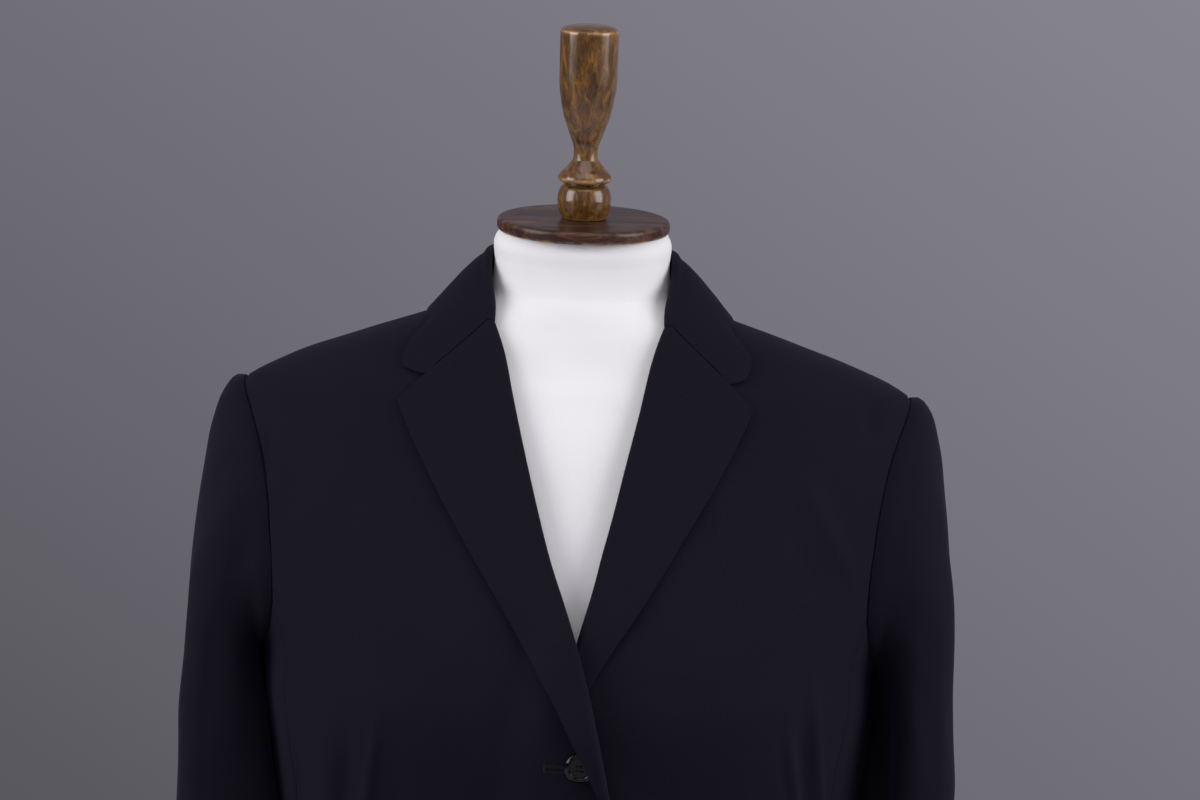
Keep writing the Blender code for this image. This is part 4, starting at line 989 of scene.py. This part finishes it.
def collar():
    table = collarSet["stations"]
    index = np.arange(len(table))
    half = edged(collarSet["halfLength"], collarSet["rows"] // 2)[0]
    half = half[:-closeRows] / half[-closeRows - 1]
    fine = index[-1] * half
    values = read(np.column_stack([index, table]), fine)
    neck, fold = values[:3].T, values[3:6].T
    points, away = onBody(np.radians(values[6]), values[7])
    edge = points + away * collarSet["edgeLift"]
    out = unit(edge - fold)
    up = unit(np.cross(out, np.gradient(fold, axis=0)))
    up = up * np.sign(up[:, 2:3])
    columns = [neck, neck + (fold - neck) * collarSet["standShare"]]
    columns += [fold + out * outwards + up * upwards for outwards, upwards in collarSet["roll"]]
    columns += [fold + (edge - fold) * share + up * arch for share, arch in collarSet["fall"]]
    strip = np.stack(columns, axis=1)
    sewn = np.clip(1 - fine / collarSet["sewnOver"], 0, 1)[:, None, None] ** 2
    strip = strip + sewn * (collarEnd() - strip[0])
    shorter = edge + collarSet["shorterEnd"] * sewn[:, 0] * (strip[:, -1] - edge)
    right = np.concatenate([strip, edge[:, None]], axis=1) * (-1, 1, 1)
    left = np.concatenate([strip, shorter[:, None]], axis=1)
    strip = np.concatenate([right, left[-2::-1]])
    folds, last = collarSet["foldTurn"], strip.shape[1] - 1
    places = edged(collarSet["width"], collarSet["columns"])[0][closeRows:]
    turns = np.concatenate([np.linspace(0, folds, collarSet["foldColumns"])[:-1],
                            folds + (last - folds) * places])
    middle = stripRows(strip, turns)
    return finished(foldedStrip("collar_cloth", middle), "suiting", "suiting", "collar")


print("turning the lapels and the collar")
for side in (-1, 1):
    bodyPieces["lapel", side] = lapel(side)
bodyPieces["collar", 0] = collar()

formSet = {
    "columns": 140, "capTilt": radians(9), "capTiltFrom": 1.100, "capTiltOver": 0.036,
    "rowStep": 3.6 * mm,
    "sections": np.array([
        (0.392, 0.150, 0.094, 0.104, 0.006, 2.3, 2.3), (0.397, 0.158, 0.101, 0.112, 0.006, 2.3, 2.3),
        (0.410, 0.164, 0.106, 0.117, 0.006, 2.3, 2.3), (0.500, 0.170, 0.110, 0.124, 0.006, 2.3, 2.3),
        (0.580, 0.162, 0.107, 0.110, 0.004, 2.3, 2.3), (0.695, 0.141, 0.096, 0.080, 0.000, 2.3, 2.3),
        (0.780, 0.154, 0.118, 0.089, 0.000, 2.3, 2.3), (0.850, 0.166, 0.139, 0.104, 0.000, 2.4, 2.3),
        (0.900, 0.173, 0.131, 0.113, 0.000, 2.4, 2.3), (0.940, 0.178, 0.117, 0.114, 0.002, 2.3, 2.3),
        (0.980, 0.181, 0.101, 0.110, 0.004, 2.2, 2.3), (1.010, 0.182, 0.088, 0.103, 0.005, 2.2, 2.3),
        (1.030, 0.180, 0.078, 0.094, 0.006, 2.2, 2.3), (1.041, 0.176, 0.073, 0.0865, 0.006, 2.2, 2.3),
        (1.050, 0.169, 0.068, 0.080, 0.006, 2.2, 2.3), (1.058, 0.161, 0.0645, 0.0745, 0.006, 2.2, 2.3),
        (1.0665, 0.1475, 0.0615, 0.0675, 0.006, 2.2, 2.3),
        (1.0726, 0.1335, 0.0595, 0.0635, 0.006, 2.2, 2.3),
        (1.079, 0.1145, 0.0570, 0.0595, 0.006, 2.2, 2.3),
        (1.086, 0.0935, 0.0545, 0.0560, 0.005, 2.2, 2.2),
        (1.0915, 0.0725, 0.0525, 0.0535, 0.004, 2.2, 2.2),
        (1.098, 0.0605, 0.0500, 0.0515, 0.002, 2.1, 2.1),
        (1.108, 0.0572, 0.0490, 0.0505, 0.001, 2.0, 2.0),
        (1.122, 0.0560, 0.0490, 0.0500, 0.000, 2.0, 2.0),
        (1.136, 0.0560, 0.0495, 0.0500, 0.000, 2.0, 2.0),
        (1.1405, 0.0535, 0.0475, 0.0480, 0.000, 2.0, 2.0),
    ]),
}


def dressForm():
    table = formSet["sections"]
    count = int((table[-1, 0] - table[0, 0]) / formSet["rowStep"])
    z = np.unique(np.append(np.linspace(table[0, 0], table[-1, 0], count), table[:, 0]))
    turns = np.linspace(-pi, pi, formSet["columns"] + 1)
    points = section(table, *np.meshgrid(turns, z), smooth=True)
    points[..., 2] += points[..., 1] * tan(formSet["capTilt"]) * ease(
        (points[..., 2] - formSet["capTiltFrom"]) / formSet["capTiltOver"])
    return closedTurn("form_jersey", points)


def closedTurn(name, points, wear=None):  # rings whose last point repeats the first, closed at both ends
    rings, columns = points.shape[0], points.shape[1] - 1
    index = np.arange(rings * columns).reshape(rings, columns)
    faces = gridFaces(np.concatenate([index, index[:, :1]], axis=1))
    uvFaces = gridFaces(np.arange(rings * (columns + 1)).reshape(rings, columns + 1))
    flat = points[:, :-1].reshape(-1, 3)
    mesh = bpy.data.meshes.new(name)
    mesh.from_pydata(flat.tolist(), [], faces.tolist() + [index[0][::-1].tolist(), index[-1].tolist()])
    uv = np.concatenate([weaveMap(points).reshape(-1, 2)[uvFaces.ravel()], flat[index[0][::-1], :2],
                         flat[index[-1], :2]])
    mesh.uv_layers.new(name="weave").data.foreach_set("uv", uv.astype(np.float32).ravel())
    if wear is not None:
        values = np.repeat(wear, columns).astype(np.float32)
        mesh.attributes.new("wear", "FLOAT", "POINT").data.foreach_set("value", values)
    faceOutwards(mesh, flat, faces)
    mesh.shade_smooth()
    mesh.set_sharp_from_angle(angle=radians(55))
    return linked(name, mesh)


turned = {
    "columns": 96, "finer": 5, "seat": 0.3 * mm, "neckTop": 1.1405,
    # outlines from the top down the outside: distance from the axis, height, how rubbed the varnish is
    "neckCap": ((0.0002, 0.0082, 0), (0.0300, 0.0082, 0), (0.0525, 0.0082, 0), (0.0546, 0.0072, 0.1),
                (0.0552, 0.0052, 0), (0.0552, 0.0026, 0), (0.0544, 0.0008, 0.55),
                (0.0530, 0.0001, 0.3)),
    "finial": (
        (0.0002, 0.1240, 0), (0.0100, 0.1233, 0), (0.0160, 0.1218, 0), (0.0179, 0.1206, 0.3),
        (0.0185, 0.1197, 1.0), (0.0187, 0.1186, 0.2), (0.0187, 0.1160, 0), (0.0186, 0.1040, 0),
        (0.0184, 0.0872, 0), (0.0171, 0.0760, 0), (0.0151, 0.0662, 0), (0.0127, 0.0590, 0),
        (0.0101, 0.0518, 0), (0.0082, 0.0465, 0), (0.0077, 0.0425, 0.1), (0.0079, 0.0385, 0.1),
        (0.0092, 0.0362, 0), (0.0125, 0.0323, 0), (0.0155, 0.0293, 0), (0.0170, 0.0272, 0.1),
        (0.0174, 0.0258, 0.9), (0.0170, 0.0246, 0.8), (0.0155, 0.0234, 0.1), (0.0130, 0.0222, 0),
        (0.0150, 0.0201, 0), (0.0166, 0.0166, 0), (0.0173, 0.0122, 0), (0.0170, 0.0080, 0),
        (0.0160, 0.0040, 0), (0.0143, 0.0001, 0.2),
    ),
    "foot": ((0.0002, 0.0330, 0), (0.0230, 0.0330, 0), (0.0260, 0.0300, 0.2), (0.0270, 0.0240, 0),
             (0.0400, 0.0236, 0), (0.1560, 0.0200, 0), (0.1660, 0.0165, 0.15), (0.1700, 0.0110, 0.2),
             (0.1690, 0.0030, 0.1), (0.1660, 0.0001, 0)),
}


def turnedPiece(name, outline, foot=(0, 0, 0), tilt=0.0):
    outline = np.array(outline)
    keys = np.concatenate([[0], np.cumsum(np.linalg.norm(np.diff(outline[:, :2], axis=0), axis=1))])
    fine = [np.linspace(a, b, turned["finer"], endpoint=False) for a, b in zip(keys[:-1], keys[1:])]
    smooth = read(np.column_stack([keys, outline]), np.append(np.concatenate(fine), keys[-1])).T
    radius, height = np.maximum(smooth[:, 0], 1e-4), np.maximum(smooth[:, 1], 0)
    around = np.linspace(0, 2 * pi, turned["columns"] + 1)
    points = np.stack([radius[:, None] * np.cos(around), radius[:, None] * np.sin(around),
                       np.broadcast_to(height[:, None], (len(height), len(around)))], axis=-1)
    matrix = np.array(Matrix.Rotation(tilt, 3, "X"))
    points = points @ matrix.T + np.array(foot)
    return closedTurn(name, points, np.clip(smooth[:, 2], 0, 1))


def poleOutline():
    low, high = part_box("pole")
    radius = (high.x - low.x) / 2
    bevel = 0.6 * mm
    height = high.z - low.z
    outline = ((0.0002, height, 0), (radius - bevel, height, 0), (radius, height - bevel, 0),
               (radius, height / 2, 0), (radius, bevel, 0), (radius - bevel, 0.0001, 0))
    return outline, (0, 0, low.z)


print("covering the form and turning its wood")
finished(dressForm(), "jersey", "jersey", "dress_form")
tilt = formSet["capTilt"]
upward = Vector((0, -sin(tilt), cos(tilt)))
capFoot = Vector((0, 0, turned["neckTop"])) + upward * turned["seat"]
knobFoot = capFoot + upward * (turned["neckCap"][0][1] + turned["seat"])
finished(turnedPiece("neck_cap_wood", turned["neckCap"], capFoot, tilt),
         "darkWalnut", "walnut", "neck_cap")
finished(turnedPiece("finial_wood", turned["finial"], knobFoot, tilt), "walnut", "walnut", "finial")
finished(turnedPiece("foot_wood", turned["foot"]), "darkWalnut", "walnut", "base")
tube, tubeFoot = poleOutline()
finished(turnedPiece("pole_tube", tube, tubeFoot), "pole", "pole", "pole")

buttonSet = {
    "radius": 9.5 * mm, "thick": 3.5 * mm, "dish": 5.8 * mm, "sink": 0.9 * mm, "hole": 0.9 * mm,
    "holeFromAxis": 2.1 * mm, "thread": 0.32 * mm, "threadApart": 0.3 * mm, "holeSides": 20,
    "rimRound": 1.1 * mm,
    # a thread's height over the button's floor: in a hole, at its edge, on its way, on top
    "threadHeights": (-1.2 * mm, 0.1 * mm, 0.4 * mm, 0.5 * mm),
    "buttonhole": {"length": 13 * mm, "height": 4.8 * mm, "stitches": 28, "endStitches": 12,
                   "thread": 0.24 * mm, "legs": 1.5 * mm, "underButton": 1.5 * mm, "lean": 0.12 * mm},
}


def tubeAlong(path, radius, sides=6):  # points and faces of a thread with closed ends
    path = np.array(path, float)
    ahead = unit(np.gradient(path, axis=0))
    aside = unit(np.cross(ahead, np.where(np.abs(ahead[:, 2:3]) > 0.9, (1.0, 0, 0), (0, 0, 1.0))))
    up = np.cross(aside, ahead)
    around = np.linspace(0, 2 * pi, sides, endpoint=False)
    rings = path[:, None] + radius * (np.cos(around)[None, :, None] * aside[:, None]
                                      + np.sin(around)[None, :, None] * up[:, None])
    index = np.arange(len(path) * sides).reshape(len(path), sides)
    faces = gridFaces(np.concatenate([index, index[:, :1]], axis=1))[:, ::-1].tolist()
    return rings.reshape(-1, 3), faces + [index[0].tolist(), index[-1][::-1].tolist()]


def joined(name, parts):
    points, faces, count = [], [], 0
    for partPoints, partFaces in parts:
        points.append(partPoints)
        faces += [tuple(i + count for i in face) for face in partFaces]
        count += len(partPoints)
    mesh = bpy.data.meshes.new(name)
    mesh.from_pydata(np.concatenate(points).tolist(), [], faces)
    mesh.shade_smooth()
    return linked(name, mesh)


def buttonPlace(number):  # the button's back: its middle and its way out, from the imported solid
    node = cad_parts["button_" + str(number)]
    points = np.array([v.co for v in node.data.vertices])
    middle = points.mean(0)
    _, _, axes = np.linalg.svd(points - middle)
    out = axes[2] * (-1 if axes[2][1] > 0 else 1)
    reach = (points - middle) @ out
    low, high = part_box(node.name)
    centre = np.array((low + high) / 2)
    centre = centre - out * ((centre - middle) @ out) + out * reach.min()
    return centre, out


def button(number):
    size = buttonSet
    radius, thick, dish, sink = size["radius"], size["thick"], size["dish"], size["sink"]
    rim = np.radians(np.linspace(56, 0, 6))
    roundness = size["rimRound"]
    outline = [(0.05 * mm, thick - sink), (dish * 0.6, thick - sink), (dish - 0.4 * mm, thick - sink),
               (dish + 0.3 * mm, thick - sink + 0.25 * mm), (dish + 0.9 * mm, thick - 0.12 * mm),
               (dish + 1.3 * mm, thick), (dish + 1.7 * mm, thick - 0.12 * mm)]
    outline += [(radius - roundness * (1 - cos(a)), thick - 2.0 * mm + roundness * sin(a)) for a in rim]
    outline += [(radius - 0.1 * mm, 1.3 * mm), (radius - 0.9 * mm, 0.35 * mm), (radius - 1.6 * mm, 0.0)]
    obj = turnedPiece("button_" + str(number) + "_disc", [(r, h, 0) for r, h in outline])
    for corner in range(4):
        angle = pi / 4 + corner * pi / 2
        bpy.ops.mesh.primitive_cylinder_add(
            vertices=size["holeSides"], radius=size["hole"], depth=3 * thick,
            location=(size["holeFromAxis"] * cos(angle), size["holeFromAxis"] * sin(angle), 0))
        cutter = bpy.context.object
        cut = obj.modifiers.new("hole", "BOOLEAN")
        cut.object = cutter
        bpy.context.view_layer.update()
        graph = bpy.context.evaluated_depsgraph_get()
        mesh = bpy.data.meshes.new_from_object(obj.evaluated_get(graph))
        obj.modifiers.clear()
        obj.data = mesh
        bpy.data.objects.remove(cutter, do_unlink=True)
    obj.data.set_sharp_from_angle(angle=radians(40))
    parts = []
    spot = size["holeFromAxis"] * sin(pi / 4)
    hidden, brink, rising, top = (thick - sink + height for height in size["threadHeights"])
    arch = ((-1, hidden), (-1, brink), (-0.55, rising), (0, top),
            (0.55, rising), (1, brink), (1, hidden))
    for y in (-spot, spot):
        for shift in (-size["threadApart"], size["threadApart"]):
            path = [(spot * share, y + shift, z) for share, z in arch]
            curve = curveThrough(np.arange(len(path)), path, np.linspace(0, len(path) - 1, 25))
            parts.append(tubeAlong(curve, size["thread"]))
    thread = joined("button_" + str(number) + "_thread", parts)
    centre, out = buttonPlace(number)
    turn = Vector(out).to_track_quat("Z", "Y").to_matrix().to_4x4()
    matrix = Matrix.Translation(Vector(centre)) @ turn
    for piece in (obj, thread):
        piece.data.transform(matrix)
    finished(obj, "button", "button", "button_" + str(number))
    finished(thread, "twist", "suiting")


def buttonhole(number):  # worked on the right front, from the button away from the front's edge
    size = buttonSet["buttonhole"]
    middle = boxMiddle("button_" + str(number))
    startX = middle.x - buttonSet["radius"] + size["underButton"]
    endX = startX - size["length"]
    half = size["height"] / 2
    parts = []

    def stitch(x0, z0, x1, z1):
        share = np.linspace(0, 1, 5)
        x, z = x0 + (x1 - x0) * share, middle.z + z0 + (z1 - z0) * share
        points, out = onFront(x, z)
        base = bodyShape(points, out, lap(x, z))
        arch = size["thread"] * (0.25 + 0.75 * np.sin(pi * share))
        parts.append(tubeAlong(base + out * arch[:, None], size["thread"], 5))

    for row in (-1, 1):
        for x in np.linspace(startX, endX, size["stitches"]):
            lean = size["lean"] * sin(37 * x / mm)  # no two stitches lie quite alike
            stitch(x + lean, row * (half - size["legs"]), x - lean, row * half)
    for z in np.linspace(-half, half, size["endStitches"]):
        stitch(endX + 0.3 * mm, z, endX - size["legs"] * 0.6, z)
    return finished(joined("buttonhole_" + str(number), parts), "twist", "suiting")


print("sewing the buttons")
for number in (1, 2, 3):
    button(number)
    buttonhole(number)

resting = {
    "front": ("draped", "dress_form"), "side": ("draped", "dress_form"),
    "back": ("draped", "dress_form"),
    "top_sleeve": ("hung", "front"), "under_sleeve": ("hung", "side"), "lapel": ("folded", "front"),
    "collar": ("folded", "back"),
}
for (kind, side), piece in bodyPieces.items():
    held, on = resting[kind]
    if on != "dress_form":
        hand = "_left" if side >= 0 else "_right"
        on = on + hand

studio = {
    "floorRadius": 4.0, "floorFadeFrom": 1.4, "floorFadeTo": 3.4, "floorColour": "#c8c7ce",
    "backdropLow": "#58575d", "backdropHigh": "#85848f", "groundColour": "#a9a8b0",
    "lighterRight": 1.58, "lighterUp": 2.36, "lightAhead": 0.644,  # how the backdrop's tone rises
    "groundFrom": -0.2, "groundTo": -0.6,
    "boxes": (
        {"name": "leftBox", "at": (-2.08, -0.93, 1.72), "size": (1.4, 1.9), "watts": 42},
        {"name": "rightBox", "at": (2.08, -0.93, 1.72), "size": (1.4, 1.9), "watts": 40},
        {"name": "topFill", "at": (0.0, -1.2, 3.1), "size": (2.2, 1.4), "watts": 14},
        {"name": "frontFill", "at": (-0.9, -3.0, 1.9), "size": (2.2, 1.6), "watts": 2.5},
    ),
    "aim": (0, 0, 0.98),
}


def layFloor():
    bpy.ops.mesh.primitive_circle_add(vertices=96, radius=studio["floorRadius"], fill_type="NGON")
    floor = bpy.context.object
    floor.name = "studioFloor"
    made, tree, shader = newMaterial("paintedFloor", {"Roughness": 0.7})
    place = addNode(tree, "TexCoord")
    distance = addNode(tree, "VectorMath", {"operation": "LENGTH"}, {0: place.outputs["Object"]})
    shade = addNode(tree, "MapRange",
                    {"interpolation_type": "SMOOTHSTEP", "From Min": studio["floorFadeFrom"],
                     "From Max": studio["floorFadeTo"], "To Min": 1.0, "To Max": 0.0},
                    {"Value": distance.outputs["Value"]})
    shader.inputs["Base Color"].default_value = linear(studio["floorColour"])
    tree.links.new(shade.outputs["Result"], shader.inputs["Alpha"])
    floor.data.materials.append(made)


def hangBackdrop():  # the room's colour, a little lighter to the right and upwards, pale below
    world = bpy.data.worlds.new("studio")
    bpy.context.scene.world = world
    world.use_nodes = True
    tree = world.node_tree
    background = tree.nodes["Background"]
    place = addNode(tree, "TexCoord")
    parts = addNode(tree, "SeparateXYZ", {}, {"Vector": place.outputs["Generated"]})
    sideways = addNode(tree, "Math", {"operation": "MULTIPLY_ADD", 1: studio["lighterRight"],
                                      2: studio["lightAhead"]}, {0: parts.outputs["X"]})
    upwards = addNode(tree, "Math",
                      {"operation": "MULTIPLY_ADD", 1: studio["lighterUp"], "use_clamp": True},
                      {0: parts.outputs["Z"], 2: sideways.outputs["Value"]})
    tone = addNode(tree, "Mix", {"data_type": "RGBA", 6: linear(studio["backdropLow"]),
                                 7: linear(studio["backdropHigh"])}, {0: upwards.outputs["Value"]})
    ground = addNode(tree, "MapRange",
                     {"interpolation_type": "SMOOTHSTEP", "From Min": studio["groundFrom"],
                      "From Max": studio["groundTo"]}, {"Value": parts.outputs["Z"]})
    whole = addNode(tree, "Mix", {"data_type": "RGBA", 7: linear(studio["groundColour"])},
                    {0: ground.outputs["Result"], 6: tone.outputs[2]})
    tree.links.new(whole.outputs[2], background.inputs["Color"])


def hangLights():
    for box in studio["boxes"]:
        data = bpy.data.lights.new(box["name"], "AREA")
        data.shape = "RECTANGLE"
        data.size, data.size_y = box["size"]
        data.energy = box["watts"]
        light = bpy.data.objects.new(box["name"], data)
        light.location = box["at"]
        towards = Vector(studio["aim"]) - Vector(box["at"])
        light.rotation_euler = towards.to_track_quat("-Z", "Y").to_euler()
        bpy.context.scene.collection.objects.link(light)


view = {"distance": 2.40, "target": (0.0144, 0.0, 1.033), "down": 3.5, "roll": 2.0, "lens": 112.5}


def placeCamera():
    data = bpy.data.cameras.new("camera")
    data.lens, data.sensor_width, data.sensor_fit = view["lens"], 36.0, "HORIZONTAL"
    camera = bpy.data.objects.new("camera", data)
    down, roll = radians(view["down"]), radians(view["roll"])
    ahead = Vector((0, cos(down), -sin(down)))
    up, right = Vector((0, sin(down), cos(down))), Vector((1, 0, 0))
    rolledRight = right * cos(roll) + up * sin(roll)
    rolledUp = up * cos(roll) - right * sin(roll)
    rows = (rolledRight, rolledUp, -ahead)
    camera.matrix_world = Matrix.Translation(Vector(view["target"]) - ahead * view["distance"]) @ Matrix(
        [[axis[i] for axis in rows] for i in range(3)]).to_4x4()
    bpy.context.scene.collection.objects.link(camera)
    bpy.context.scene.camera = camera


print("lighting the room")
layFloor()
hangBackdrop()
hangLights()
placeCamera()
bpy.context.scene.view_settings.view_transform = "Standard"
